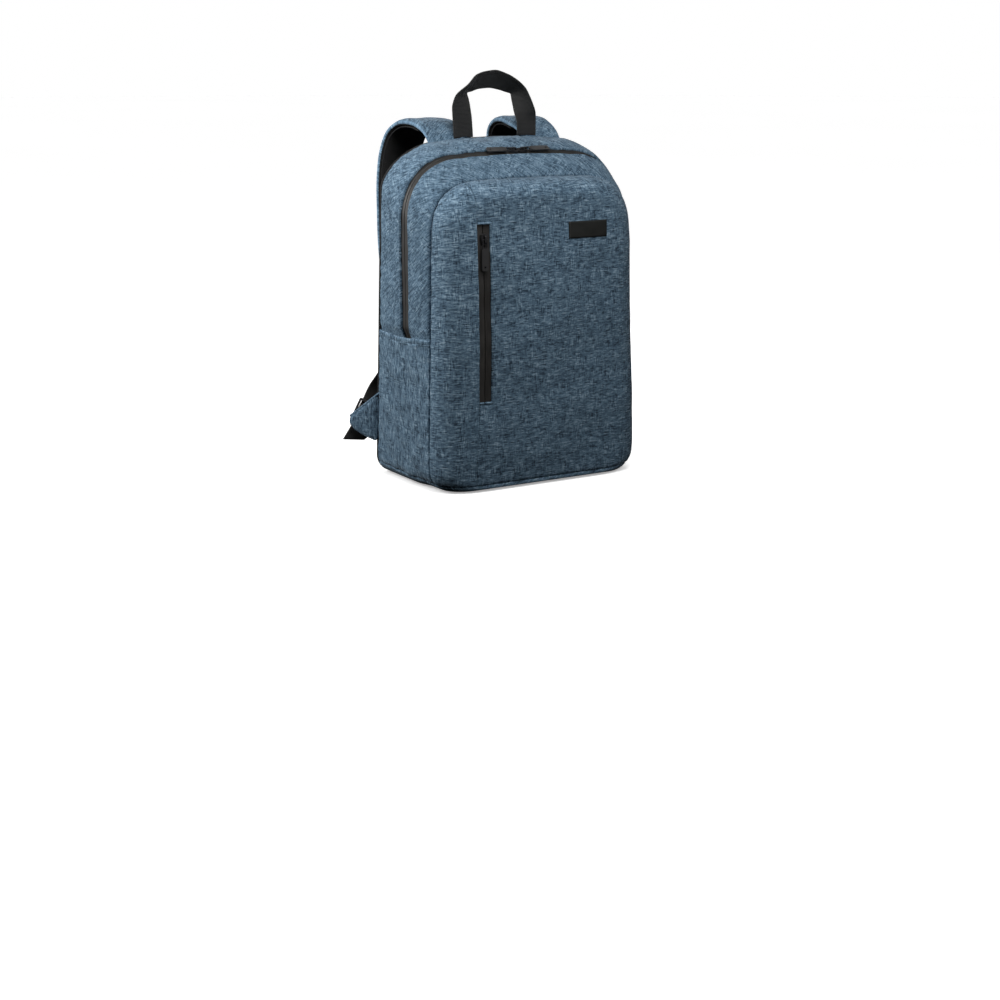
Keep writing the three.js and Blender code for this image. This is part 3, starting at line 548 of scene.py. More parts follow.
PLASTIC_FINISH = hard("buckle_plastic", (0.009, 0.009, 0.010), (0.05, 0.05, 0.052), 0.34, 0.50)


# Camera at the photograph's angle
AZIMUTH, ELEVATION, REACH = math.radians(-31.0), math.radians(14.5), 2.4
target = Vector((-0.0035, 0.0266, -0.0452))
back = Vector((math.sin(AZIMUTH) * math.cos(ELEVATION), -math.cos(AZIMUTH) * math.cos(ELEVATION),
               math.sin(ELEVATION)))
lens = bpy.data.cameras.new("camera")
lens.lens = 64.9
lens.sensor_width = 36
lens.clip_end = 100
camera = bpy.data.objects.new("camera", lens)
camera.location = target + back * REACH
camera.rotation_mode = "QUATERNION"
camera.rotation_quaternion = (-back).to_track_quat("-Z", "Y")
bpy.context.scene.collection.objects.link(camera)
bpy.context.scene.camera = camera


# Front: one shell from the front seam over the rounded edge to the middle of the face
EDGE_TURNS = np.radians([0.6, 0.8, 1.1, 1.6, 2.3, 3.2, 4.4, 6, 8.5, 12, 17, 23, 30, 37, 44, 51, 58, 65,
                         72, 79, 85, 90])
FACE_MIDDLE = (FRONT[4] * HEIGHT - FRONT_EDGE_TOP + FRONT_EDGE_FOOT) / 2
FACE_SPINE = 0.3


# A row of the rounded edge: a turn of 0 is the front seam and a right angle the face's rim
def edge_row(q, turn):
    out = 1 - math.cos(turn)
    shrink = (FRONT_EDGE * out, FRONT_EDGE_TOP * out, FRONT_EDGE_FOOT * out)
    x, z, s = outline(np.zeros_like(q), q, shrink=shrink)
    return x, lerp(seam_y(s, z), face_y(z), math.sin(turn)), z


# A row of the face, drawn in from its rim by a share
def face_row(rim_x, rim_z, scale):
    z = FACE_MIDDLE + (rim_z - FACE_MIDDLE) * (FACE_SPINE + (1 - FACE_SPINE) * scale)
    return rim_x * scale, face_y(z) - FACE_SWELL * (1 - scale * scale), z


# Lengths in the cloth: the face as it lies, and the edge laid out past its rim
def flattened(points, edge_count, run):
    rim = points[edge_count - 1][:, [0, 2]]
    past = (run[edge_count - 1] - run)[:edge_count, :, None]
    flat = points[:, :, [0, 2]].copy()
    flat[:edge_count] = rim[None] + unit(points[0][:, [0, 2]] - rim)[None] * past
    return flat


def front_shell():
    q = even(-2, 3, 190, v=0.02)
    edge = []
    for turn in EDGE_TURNS:
        x, y, z = edge_row(q, turn)
        edge.append(both_sides(x[None], z[None], y[None])[0])
    rim = edge[-1]
    inner = [np.stack(face_row(rim[:, 0], rim[:, 2], scale), -1) for scale in np.linspace(1, 0, 30)[1:]]
    points = np.array(edge + inner)
    run = run_along(points, 0)
    flat = flattened(points, len(edge), run)
    normals = grid_normals(points)
    normals[-4:] = (0, -1, 0)
    tau = run_along(points[:1], 1)[0][None]
    soft = 0.0006 * waves(flat[..., 0], flat[..., 1], 0.13, 5)
    soft = soft + 0.0002 * waves(flat[..., 0], flat[..., 1], 0.045, 6)
    pucker = 0.00035 * np.exp(-run / 0.007) * waves(tau, 0 * tau, 0.013, 7)
    keep = clamp(run / 0.03)
    middle = clamp((points[..., 2] - 0.012) / 0.03)
    raised = soft * keep * middle + pucker * clamp(run / 0.002) - roll(run, 0.0042)
    return points + normals * raised[..., None], flat, normals


shell, shell_uv, shell_normals = front_shell()
front_faces = grid_faces(*shell.shape[:2], needs_flip(shell, shell_normals))
FRONT_TREE = BVHTree.FromPolygons([tuple(p) for p in shell.reshape(-1, 3)], front_faces)


def on_face(x, z):
    hit = FRONT_TREE.ray_cast(Vector((x, -0.3, z)), Vector((0, 1, 0)))
    return hit[0].y


def seam_shift(z):
    heights = [0.02, 0.043, 0.094, 0.114, 0.193, 0.333, 0.379]
    moves = [-0.003, -0.003, 0.0015, 0.002, 0.002, 0.0, -0.001]
    return float(np.interp(z, heights, moves))


def base_height(y):
    return BASE_SEAM + BASE_RISE * y


# Distance outside the zip opening, negative inside
def from_opening(x, z):
    dx = max(SEAM_X - x, x - ZIP_RIGHT)
    dz = max(ZIP_LOW - z, z - ZIP_HIGH)
    if dx > 0 and dz > 0:
        return math.hypot(dx, dz)
    return max(dx, dz)


LIP = [0.0003, 0.0007, 0.0012, 0.0018, 0.0025, 0.0031, 0.0036, 0.0042, 0.0052, 0.0070]


# Cuts along the base seam, and keeps what lies above it or below it
def cut_at_base(work, keep_above, near=None):
    normal = Vector((0, BASE_RISE, -1)).normalized() * (1 if keep_above else -1)
    for step in reversed(ROLL_STEPS[:7]):
        cut(work, Vector((0, 0, BASE_SEAM)) - normal * step, normal, clear_above=step == 0, near=near)


# A folded, stitched lip: down at the fold, a low ridge, then a stitched groove
def lip(distance, ridge=0.0006, groove=0.0005):
    raised = ridge * math.exp(-((distance - 0.0016) / 0.0012) ** 2)
    sewn = groove * math.exp(-((distance - 0.0036) / 0.0007) ** 2)
    return raised - sewn - float(roll(distance, 0.0014))


def front_piece(name, left):
    work = work_on(shell, front_faces, shell_uv)
    cut_at_base(work, True, near=lambda p: p.z < 0.02)
    side = -1 if left else 1
    seam = Vector((SEAM_X, 0, 0))
    right_way, up = Vector((1, 0, 0)), Vector((0, 0, 1))
    cut(work, seam, Vector((-side, 0, 0)), clear_above=True)
    for step in LIP:
        cut(work, seam + right_way * side * step, right_way, near=lambda p: abs(p.x - SEAM_X) < 0.012)
    if not left:
        for step in [0, *LIP]:
            cut(work, right_way * (ZIP_RIGHT + step), right_way,
                near=lambda p: abs(p.x - ZIP_RIGHT) < 0.014 and 0.095 < p.z < 0.35)
            for edge, sign in ((ZIP_LOW, -1), (ZIP_HIGH, 1)):
                cut(work, up * (edge + sign * step), up,
                    near=lambda p: abs(p.z - edge) < 0.014 and -0.1 < p.x < -0.066)
        inside = []
        for f in work.faces:
            middle = f.calc_center_median()
            if middle.y < -0.05 and from_opening(middle.x, middle.z) < -1e-6:
                inside.append(f)
        bmesh.ops.delete(work, geom=inside, context="FACES")
    work.normal_update()
    moves = []
    for v in work.verts:
        x, y, z = v.co
        rise = 0.0
        over_base = z - base_height(y)
        if over_base < 0.003:
            rise -= float(roll(max(over_base, 0)))
        span = abs(x - SEAM_X)
        if left:
            rise += lip(span, 0.0006, 0.0004)
        else:
            gap = max(from_opening(x, z), 0) if y < -0.05 else 9.0
            if gap < 0.009:
                rise += lip(gap, 0.0007, 0.0006)
            elif span < 0.009 and not ZIP_LOW < z < ZIP_HIGH:
                rise -= float(roll(span, 0.0016))
        move = Vector(v.normal) * rise
        move.x += seam_shift(z) * math.exp(-(span / 0.03) ** 2)
        moves.append(move)
    for v, move in zip(work.verts, moves):
        v.co += move
    return work_object(work, name, CLOTH_FRONT)


place(front_piece("front_cloth_left", True), "front_panel_left", slot="cloth")
place(front_piece("front_cloth_right", False), "front_panel_right", slot="cloth")


# Front zip tapes: thin satin strips below the cloth that meet at a fine line
def tape_rise(off):
    return 0.0006 * np.exp(-(off / 0.0035) ** 2) - 0.0009 * np.exp(-(off / 0.0005) ** 2)


def front_tape(name, node, start, stop, meet):
    xs = np.linspace(start, stop, 26)
    zs = np.linspace(ZIP_LOW - TAPE_SEAM, ZIP_HIGH + TAPE_SEAM, 90)
    points = np.zeros((len(zs), len(xs), 3))
    uv = np.zeros((len(zs), len(xs), 2))
    for i, z in enumerate(zs):
        shift = seam_shift(z)
        for j, x in enumerate(xs):
            ripple = 0.00012 * math.sin(z / 0.007 + 3 * math.sin(z / 0.03))
            deep = CLOTH + CLEAR - tape_rise(abs(x - meet)) - ripple
            points[i, j] = (x + shift, on_face(x, z) + deep, z)
            uv[i, j] = (z, x - meet)
    made = panel(name, points, uv, TAPE_FINISH, thick=0.0008)
    return place(made, node, slot="zip_tape")


ZIP_MIDDLE = (SEAM_X + ZIP_RIGHT) / 2
front_tape("front_tape_left", "front_zip_tape_left", SEAM_X - TAPE_SEAM, ZIP_MIDDLE - 0.0001, ZIP_MIDDLE)
front_tape("front_tape_right", "front_zip_tape_right", ZIP_MIDDLE + 0.0001, ZIP_RIGHT + TAPE_SEAM, ZIP_MIDDLE)


# Label patch: a bare soft tab with a rounded rim, laid on the cloth
def patch():
    x0, z0, wide, high = PATCH
    u = np.linspace(-1, 1, 41)
    w = np.linspace(-1, 1, 21)
    points = np.zeros((len(w), len(u), 3))
    uv = np.zeros((len(w), len(u), 2))
    for i, b in enumerate(w):
        for j, a in enumerate(u):
            x, z = x0 + a * wide / 2, z0 + b * high / 2
            inset = min(wide / 2 * (1 - abs(a)), high / 2 * (1 - abs(b)))
            drop = float(roll(inset, 0.0009))
            points[i, j] = (x, on_face(x, z) - CLEAR - 0.0012 + drop, z)
            uv[i, j] = (x, z)
    return panel("bare_patch", points, uv, PATCH_FINISH, thick=0.0009)


place(patch(), "label_patch", slot="patch")


# Gusset bands and main zip tapes: rows lie between two planes that lean with the height
def station_off_zip(q, low, shift):
    z = outline(np.full_like(q, 0.5), q, low, True)[1]
    front, middle, rear = (seam_y(section(np.full_like(q, v)), z) for v in (0.0, 0.5, 1.0))
    return 0.5 + 0.5 * shift / (middle - front if shift < 0 else rear - middle)


def band_points(first, last, shares, q, low):
    v = first[None] + (last - first)[None] * shares[:, None]
    x, z, s = outline(v, np.broadcast_to(q, v.shape), low, True)
    return both_sides(x, z, seam_y(s, z))


ARCH = even(0, 3, 130, low=LINER_TOP, v=0.5)
NO_SHIFT = np.zeros_like(ARCH)


def gusset(name, node, first, last, seam_first, seed, width):
    shares = rows_across(width, 14)
    open_seam = 0.0004 / width
    shares = lerp(open_seam, 1, shares) if seam_first else lerp(0, 1 - open_seam, shares)
    points = band_points(first, last, shares, ARCH, LINER_TOP)
    across = run_along(points, 0)
    total = across[-1][None]
    along = run_along(points[len(points) // 2][None], 1)
    uv = np.stack([np.broadcast_to(along, across.shape), across], -1)
    n = grid_normals(points)
    seam_gap = across if seam_first else total - across
    fold_gap = total - across if seam_first else across
    soft = 0.0007 * waves(along, across, 0.055, seed) * np.sin(math.pi * across / total)
    pucker = 0.0004 * np.exp(-seam_gap / 0.006) * waves(along, 0 * along, 0.012, seed + 1)
    pucker += 0.00035 * np.exp(-fold_gap / 0.006) * waves(along, 0 * along, 0.017, seed + 2)
    swell = 0.0010 * np.sin(math.pi * across / total) ** 0.8
    fold = 0.0005 * np.exp(-((fold_gap - 0.0017) / 0.0012) ** 2)
    fold -= 0.0005 * np.exp(-((fold_gap - 0.0038) / 0.0007) ** 2)
    raised = soft + swell + pucker * clamp(seam_gap / 0.002) + fold
    raised = raised - roll(seam_gap, 0.0036) - roll(fold_gap, 0.0014)
    points = points + n * raised[..., None]
    points[-1 if seam_first else 0] -= n[-1 if seam_first else 0] * 0.0009
    return place(panel(name, points, uv, CLOTH_BIAS, normals=n), node, slot="cloth")


# The gap between the folded edges narrows from the sides to the top
narrow = lerp(1.0, 0.7, clamp((ARCH - 0.85) / 0.45))
front_edge = 0.5 + narrow * (station_off_zip(ARCH, LINER_TOP, -ZIP_GAP / 2) - 0.5)
rear_edge = 0.5 + narrow * (station_off_zip(ARCH, LINER_TOP, ZIP_GAP / 2) - 0.5)
gusset("gusset_cloth_front", "gusset_front", NO_SHIFT, front_edge, True, 20, 0.036)
gusset("gusset_cloth_rear", "gusset_rear", rear_edge, NO_SHIFT + 1, False, 30, 0.042)


def main_tape(name, node, shifts):
    rows = []
    for shift in shifts:
        v = station_off_zip(ARCH, LINER_TOP, shift)
        x, z, s = outline(v, ARCH, LINER_TOP, True)
        rows.append(np.stack([x, z, seam_y(s, z)], -1))
    rows = np.array(rows)
    points = both_sides(rows[..., 0], rows[..., 1], rows[..., 2])
    n = grid_normals(points)
    off = np.abs(np.array(shifts))[:, None]
    along = run_along(points[:1], 1)
    ripple = 0.00015 * waves(along, 0 * along, 0.03, 41)
    points = points - n * (CLOTH + CLEAR - tape_rise(off) - ripple)[..., None]
    uv = np.stack(np.broadcast_arrays(along, np.array(shifts)[:, None]), -1)
    return place(panel(name, points, uv, TAPE_FINISH, normals=n, thick=0.0008), node, slot="zip_tape")


TAPE_ROWS = np.array([0.2, 0.4, 0.7, 1.1, 1.6, 2.4, 3.4, 4.6, 6, 7.5, 9, 11, 13.5]) * 0.001
main_tape("main_tape_front", "main_zip_tape_front", list(-TAPE_ROWS[::-1]))
main_tape("main_tape_rear", "main_zip_tape_rear", list(TAPE_ROWS))


# Sides: the plain wall behind, the open pocket and its folded hem
SIDE_WIDTH = 0.105


def side_points(shares, heights, lined, sign, proud=0.0):
    columns = []
    for v in shares:
        q = np.linspace(-1, 1.2, 1600)
        x, z, s = outline(np.full_like(q, v), q, FOOT, lined)
        low = base_height(float(seam_y(section(v), 0.01))) if heights[0] <= 0 else heights[0]
        want = lerp(low, heights[1], np.linspace(0, 1, heights[2]) ** heights[3])
        q_want = np.interp(want, z, q)
        x, z, s = outline(np.full_like(q_want, v), q_want, FOOT, lined)
        columns.append(np.stack([sign * (x + proud), seam_y(s, z), z], -1))
    return np.array(columns)


def mouth_sag(y):
    return -0.0022 * math.sin(math.pi * min(max((y + 0.047) / 0.115, 0), 1)) ** 1.4


def side_cloth(side, sign):
    wall = side_points(np.linspace(0.0, 1.0, 24), (0.0, LINER_TOP, 30, 1.0), True, sign)
    wall_uv = np.stack([wall[..., 1], wall[..., 2]], -1)
    place(panel(f"wall_cloth_{side}", wall, wall_uv, CLOTH_SIDE), f"side_wall_{side}", slot="cloth")

    shares = rows_across(SIDE_WIDTH, 34)
    pocket = side_points(shares, (0.0, POCKET_TOP - HEM + 0.001, 70, 1.0), False, sign)
    across = run_along(pocket, 0)
    total = across[-1][None]
    up = run_along(pocket, 1)
    n = grid_normals(pocket)
    uv = np.stack([across, up], -1)
    z = pocket[..., 2]
    tall = clamp((z - 0.03) / 0.12)
    soft = 0.0009 * waves(across, up, 0.06, 50, stretch=0.6)
    soft = soft + 0.00045 * waves(across, up, 0.028, 51, stretch=0.5)
    pucker = 0.0005 * np.exp(-across / 0.008) * waves(up, 0 * up, 0.014, 52)
    pucker += 0.0005 * np.exp(-(total - across) / 0.008) * waves(up, 0 * up, 0.016, 53)
    inner = np.sin(math.pi * clamp(across / total))
    raised = soft * inner + pucker * clamp(across / 0.002) * clamp((total - across) / 0.002)
    raised = raised + 0.0012 * inner ** 0.7 * tall
    raised = raised - roll(across) - roll(total - across) - roll(up, 0.0018)
    shaped = pocket + n * raised[..., None]
    near_top = clamp((z - 0.10) / (POCKET_TOP - 0.10)) ** 2
    sag = np.vectorize(mouth_sag)(pocket[..., 1])
    shaped[..., 2] += sag * near_top
    made = panel(f"pocket_cloth_{side}", shaped, uv, CLOTH_SIDE, normals=n, thick=0.0012)
    place(made, f"side_pocket_{side}", slot="cloth")

    # The hem is one profile of a double fold, swept from the front seam to the rear one
    top, low = POCKET_TOP, POCKET_TOP - HEM
    profile = [(low, -0.0010), (low + 0.0001, 0.0004), (low + 0.0007, 0.0008), (low + 0.0012, 0.0005),
               (low + 0.0016, 0.0001), (low + 0.0021, 0.0006), (low + 0.0035, 0.0010), (low + 0.0052, 0.0010),
               (low + 0.0067, 0.0008), (low + 0.0076, 0.0002), (top, -0.0008), (low + 0.0077, -0.0018),
               (low + 0.0070, -0.0024), (low + 0.0040, -0.0026), (low + 0.0006, -0.0026), (low, -0.0022)]
    hem_rows = rows_across(SIDE_WIDTH, 40)
    rings = []
    for v in hem_rows:
        mouth = side_points([v], (low, top, 12, 1.0), False, sign)[0]
        ring = []
        for height, proud in profile:
            y = np.interp(height, mouth[:, 2], mouth[:, 1])
            x = np.interp(height, mouth[:, 2], np.abs(mouth[:, 0]))
            gap = min(v, 1 - v) * SIDE_WIDTH
            tuck = float(roll(gap, 0.0021))
            wave = 0.0004 * math.sin(v * 41 + 1) + 0.0003 * math.sin(v * 17)
            ring.append((sign * (x + proud + (0.0010 * math.sin(math.pi * v) ** 0.7) + wave - tuck), y,
                         height + mouth_sag(y)))
        rings.append(ring)
    rings = np.array(rings)
    around = np.arange(len(profile))[None] * 0.0012
    uv = np.stack(np.broadcast_arrays((hem_rows * SIDE_WIDTH)[:, None], around), -1)
    place(tube(f"hem_cloth_{side}", rings, uv, CLOTH_SIDE), f"pocket_hem_{side}", slot="cloth")


for side_name, side_sign in (("left", -1), ("right", 1)):
    side_cloth(side_name, side_sign)


# Base: everything below the base seam, from the front edge to the rear seam
def base_piece():
    q = even(-2, 0.05, 90, v=0.5)
    rim_x, _, rim_z = edge_row(q, EDGE_TURNS[-1])
    rows = [face_row(rim_x, rim_z, scale) for scale in (0.93, 0.965)]
    rows += [edge_row(q, turn) for turn in EDGE_TURNS[::-1]]
    for v in np.linspace(0, 1, 30)[1:]:
        x, z, s = outline(np.full_like(q, v), q)
        rows.append((x, seam_y(s, z), z))
    right = np.array(rows).transpose(0, 2, 1)
    points = np.concatenate([right[:, ::-1] * (-1, 1, 1), right[:, 1:]], 1)
    uv = np.stack([run_along(points, 1) - 0.16, run_along(points, 0)], -1)
    work = work_on(points, grid_faces(*points.shape[:2], needs_flip(points, grid_normals(points))), uv)
    cut_at_base(work, False)
    work.normal_update()
    for v in work.verts:
        under = base_height(v.co.y) - v.co.z
        if under < 0.003:
            v.co -= Vector(v.normal) * float(roll(max(under, 0)))
    return work_object(work, "base_cloth", CLOTH_FRONT)


place(base_piece(), "base_panel", slot="cloth")


# Back: a padded panel of spacer mesh behind the rear seam
def back_piece():
    q = even(-2, 3, 170, v=1.0)
    edge = []
    for turn in np.radians([0, 4, 10, 18, 28, 40, 54, 68, 80, 90]):
        out = (1 - math.cos(turn)) * BACK_EDGE
        x, z, s = outline(np.ones_like(q), q, shrink=(out, out, 0.6 * out))
        y = seam_y(s, z) + BACK_EDGE * math.sin(turn)
        edge.append(both_sides(x[None], z[None], y[None])[0])
    rim = edge[-1]
    middle = HEIGHT / 2
    s = section(1.0)
    inner = []
    for scale in np.linspace(1, 0, 32)[1:]:
        z = middle + (rim[:, 2] - middle) * (FACE_SPINE + (1 - FACE_SPINE) * scale)
        y = seam_y(s, z) + BACK_EDGE + BACK_SWELL * (1 - scale * scale)
        inner.append(np.stack([rim[:, 0] * scale, y, z], -1))
    points = np.array(edge + inner)
    n = grid_normals(points)
    n[-4:] = (0, 1, 0)
    run = run_along(points, 0)
    flat = flattened(points, len(edge), run)
    soft = 0.0008 * waves(flat[..., 0], flat[..., 1], 0.07, 61)
    soft = soft + 0.0003 * waves(flat[..., 0], flat[..., 1], 0.03, 62)
    groove = 0.0010 * np.exp(-((run - 0.022) / 0.0016) ** 2)
    raised = soft * clamp((run - 0.01) / 0.02) - roll(run) - groove
    made = panel("back_mesh", points + n * raised[..., None], flat, MESH_FINISH, normals=n)
    return place(made, "back_panel", slot="mesh")


back_piece()


# Ribbons: smooth bands through stations with a centre, width direction, half width and thickness
def smooth(rows, per_step):
    rows = np.asarray(rows, float)
    count = len(rows)
    chord = np.linalg.norm(np.diff(rows[:, :3], axis=0), axis=1)
    t = np.concatenate([[0], np.cumsum(np.maximum(chord, 1e-6))])
    slope = np.gradient(rows, t, axis=0)
    out = []
    for i in range(count - 1):
        h = t[i + 1] - t[i]
        for k in range(per_step):
            w = k / per_step
            out.append((2 * w**3 - 3 * w**2 + 1) * rows[i] + (w**3 - 2 * w**2 + w) * h * slope[i]
                       + (3 * w**2 - 2 * w**3) * rows[i + 1] + (w**3 - w**2) * h * slope[i + 1])
    out.append(rows[-1])
    return np.array(out)


# Straight runs between the rows, eased a little at each bend
def eased(rows, per_step, passes):
    rows = np.asarray(rows, float)
    t = np.arange(len(rows))
    fine = np.linspace(0, t[-1], (len(rows) - 1) * per_step + 1)
    line = np.stack([np.interp(fine, t, column) for column in rows.T], -1)
    for _ in range(passes):
        line[1:-1] = 0.5 * line[1:-1] + 0.25 * (line[:-2] + line[2:])
    return line


# rows: x, y, z, wide x, y, z, half and thick
def ribbon(name, rows, shape, finish, per_step=6, lift=0.0, shape_move=None, passes=None):
    line = smooth(rows, per_step) if passes is None else eased(rows, per_step, passes)
    centre, wide = line[:, :3], unit(line[:, 3:6])
    tangent = unit(np.gradient(centre, axis=0))
    up = unit(np.cross(wide, tangent))
    run = np.concatenate([[0], np.cumsum(np.linalg.norm(np.diff(centre, axis=0), axis=1))])
    u, v = shape[:, 0], shape[:, 1]
    half, thick = line[:, 6][:, None, None], line[:, 7][:, None, None]
    move = np.zeros((len(line), len(u))) if shape_move is None else shape_move(run[:, None], u[None], v[None])
    points = (centre[:, None] + wide[:, None] * (u[None, :, None] * half)
              + up[:, None] * (v[None, :, None] * thick / 2 + lift + move[..., None]))
    flat = np.stack([u[None] * half[..., 0], np.broadcast_to(run[:, None], (len(line), len(u)))], -1)
    return tube(name, points, flat, finish)


# A flat strip's cross section with rounded edges
def strip_shape(across=10, edge=0.06):
    upper = [(u, 1.0) for u in np.linspace(1 - edge, -1 + edge, across)]
    lower = [(u, -1.0) for u in np.linspace(-1 + edge, 1 - edge, across)]
    left = [(-1 + edge * 0.3, 0.7), (-1, 0.0), (-1 + edge * 0.3, -0.7)]
    right = [(1 - edge * 0.3, -0.7), (1, 0.0), (1 - edge * 0.3, 0.7)]
    return np.array(upper + left + lower + right)


HANDLE_ROWS = [
    (-1.715, -0.0175, -3, 0), (-1.77, 0.28, 0, 0), (-1.83, 0.47, 2, 6), (-1.77, 0.61, 14, 24),
    (-1.49, 0.74, 47, 60), (-1.17, 0.818, 76, 42), (-0.84, 0.86, 84, 40), (-0.15, 0.885, 92, 36),
    (0.48, 0.82, 104, 48), (0.87, 0.755, 116, 58), (1.18, 0.69, 138, 70), (1.32, 0.57, 170, 60),
    (1.48, 0.42, 180, 42), (1.61, 0.23, 180, 0), (1.61, -0.01, 182.3, 0),
]
REAR_Y = REAR[1] * DEPTH
handle_rows = []
for share_x, share_z, turn_deg, tip_deg in HANDLE_ROWS:
    turn, tip = math.radians(turn_deg), math.radians(tip_deg)
    handle_rows.append((share_x * HANDLE_WEB, REAR_Y, HEIGHT + CLEAR + share_z * 0.080,
                        math.cos(tip) * math.cos(turn), math.sin(tip), -math.cos(tip) * math.sin(turn),
                        HANDLE_WEB / 2, 0.002))
handle = ribbon("handle_web", handle_rows, strip_shape(14), HANDLE_FINISH, 9, passes=7)
place(handle, "handle", slot="webbing")

STRAP_ROWS = [
    (0.409, 0.0, 0.990, 1, 0.33, 7), (0.409, 0.1, 1.012, 1, 0.72, 4), (0.412, 0.27, 1.029, 1, 1, 0),
    (0.424, 0.5, 1.039, 1, 1, 0), (0.441, 0.72, 1.033, 1, 1, 0), (0.463, 0.89, 1.006, 1, 1, 0),
    (0.49, 0.98, 0.951, 1, 1, 0), (0.512, 1.0, 0.874, 1, 1, 0), (0.519, 0.99, 0.774, 1, 1, 0),
    (0.524, 0.96, 0.672, 1, 1, 0), (0.53, 0.91, 0.574, 0.93, 1, 0), (0.542, 0.84, 0.497, 0.8, 0.95, 0),
    (0.561, 0.745, 0.433, 0.62, 0.8, 0),
]


def strap_point(x, reach, z):
    return np.array([x * HALF, REAR_Y + reach * STRAP_REACH, z * HEIGHT])


def strap_rows(sign, narrower=0.0, thick=None):
    rows = []
    for x, reach, z, wide, pad, roll_deg in STRAP_ROWS:
        p = strap_point(x, reach, z)
        turn = math.radians(roll_deg)
        rows.append((sign * p[0], p[1], p[2], math.cos(turn), 0, -sign * math.sin(turn),
                     wide * STRAP_WIDTH / 2 - narrower, pad * STRAP_PAD if thick is None else thick))
    return rows


# Padded cross section: full in the middle, thin at the bound edges, with a stitched channel
def pad_shape():
    us = np.concatenate([np.linspace(0.99, 0.80, 12), np.linspace(0.76, -0.76, 24),
                         np.linspace(-0.80, -0.99, 12)])
    height = []
    for u in us:
        edge = abs(u)
        body = 1.06 * (1 - max(0.0, (edge - 0.62) / 0.38) ** 2.6) ** 0.5 if edge > 0.62 else 1.06
        channel = 0.42 * math.exp(-((edge - 0.83) / 0.022) ** 2)
        height.append(max(body - channel, 0.26))
    upper = list(zip(us, height))
    lower = [(u, -0.82 * h) for u, h in upper[::-1]]
    return np.array(upper + [(-1, 0.0)] + lower + [(1, 0.0)])


def pad_move(run, u, v):
    crease = 0.0016 * np.exp(-((run - 0.020 - 0.008 * u) / 0.004) ** 2) * (v > 0)
    soft = 0.0006 * waves(run + 0 * u, u * 0.03 + 0 * run, 0.035, 71) * (v > 0) * (1 - u * u)
    return soft - crease


def binding(name, rows, sign_edge):
    shape = []
    for turn in np.linspace(-110, 110, 13):
        a = math.radians(turn)
        shape.append((sign_edge * (0.955 + 0.058 * math.cos(a)), 0.50 * math.sin(a)))
    for turn in np.linspace(110, -110, 9):
        a = math.radians(turn)
        shape.append((sign_edge * (0.950 + 0.040 * math.cos(a)), 0.38 * math.sin(a)))
    return ribbon(name, rows, np.array(shape), CLOTH_EDGE, 5)


for side_name, side_sign in (("left", -1), ("right", 1)):
    rows = strap_rows(side_sign)
    pad = ribbon(f"strap_cloth_{side_name}", rows, pad_shape(), CLOTH_STRAP, 9, 0.0, pad_move)
    pad.data.materials.append(MESH_FINISH)
    around = len(pad_shape())
    for face in pad.data.polygons:
        face.material_index = int(around / 2 < face.index % around < around - 1)
    place(pad, f"strap_pad_{side_name}", slot="cloth")
    for edge_name, edge_sign in (("inner", -1), ("outer", 1)):
        place(binding(f"strap_binding_{side_name}_{edge_name}", rows, edge_sign), slot="cloth")
    lining_rows = strap_rows(side_sign, 0.003, LINING)[2:12]
    lining = ribbon(f"strap_lining_{side_name}", lining_rows, strip_shape(12), MESH_FINISH, 8,
                    -(STRAP_PAD + LINING) / 2 - CLEAR)
    place(lining, f"strap_mesh_{side_name}", slot="mesh")


# Lower anchor, worked out for the right side and mirrored for the left
WING_DIRECTION = unit(np.array([0.62, 0.78, 0.0]))
WING_LOW, WING_HIGH, WING_REACH, WING_THICK = 0.042, 0.107, 0.041, 0.005
LOCK_LENGTH, LOCK_BAR, LOCK_THICK, WEB_THICK = 0.028, 0.003, 0.003, 0.0014
rear_section = section(1.0)
wing_x = float(half_width(rear_section, WING_LOW))


def wing_point(out, z):
    return np.array([wing_x, float(seam_y(rear_section, z)), z]) + WING_DIRECTION * out * WING_REACH


WING_BACK = unit(np.cross(wing_point(0, WING_HIGH) - wing_point(0, WING_LOW), WING_DIRECTION))
LOCK_CENTRE = strap_point(0.964, 0.55, 0.177)
LOCK_BACK = unit(np.array([-0.55, 0.83, -0.1]))
lock_up = np.array([-0.4, -0.156, 0.903])
LOCK_UP = unit(lock_up - LOCK_BACK * np.dot(lock_up, LOCK_BACK))
LOCK_WIDE = unit(np.cross(LOCK_UP, LOCK_BACK))
WEB_OFF = LOCK_THICK / 2 + CLEAR + WEB_THICK / 2
BAR_LOW = -LOCK_LENGTH / 2 + LOCK_BAR


def in_lock(up, behind):
    return LOCK_CENTRE + LOCK_UP * up + LOCK_BACK * behind


# Wing: two cloths over thin foam, piped along the upper edge
WING_EDGE = [(0, 0), (0.45, 0.1), (0.8, 0.21), (1, 0.36), (0.97, 0.49), (0, 1)]
WING_PROFILE = [(1.0, 0.0), (0.985, 0.45), (0.955, 0.62), (0.925, 0.52), (0.90, 0.60), (0.85, 0.86),
                (0.75, 1.0), (0.6, 1.06), (0.42, 1.08), (0.22, 1.08), (0.05, 1.08)]
PIPING = 0.0016


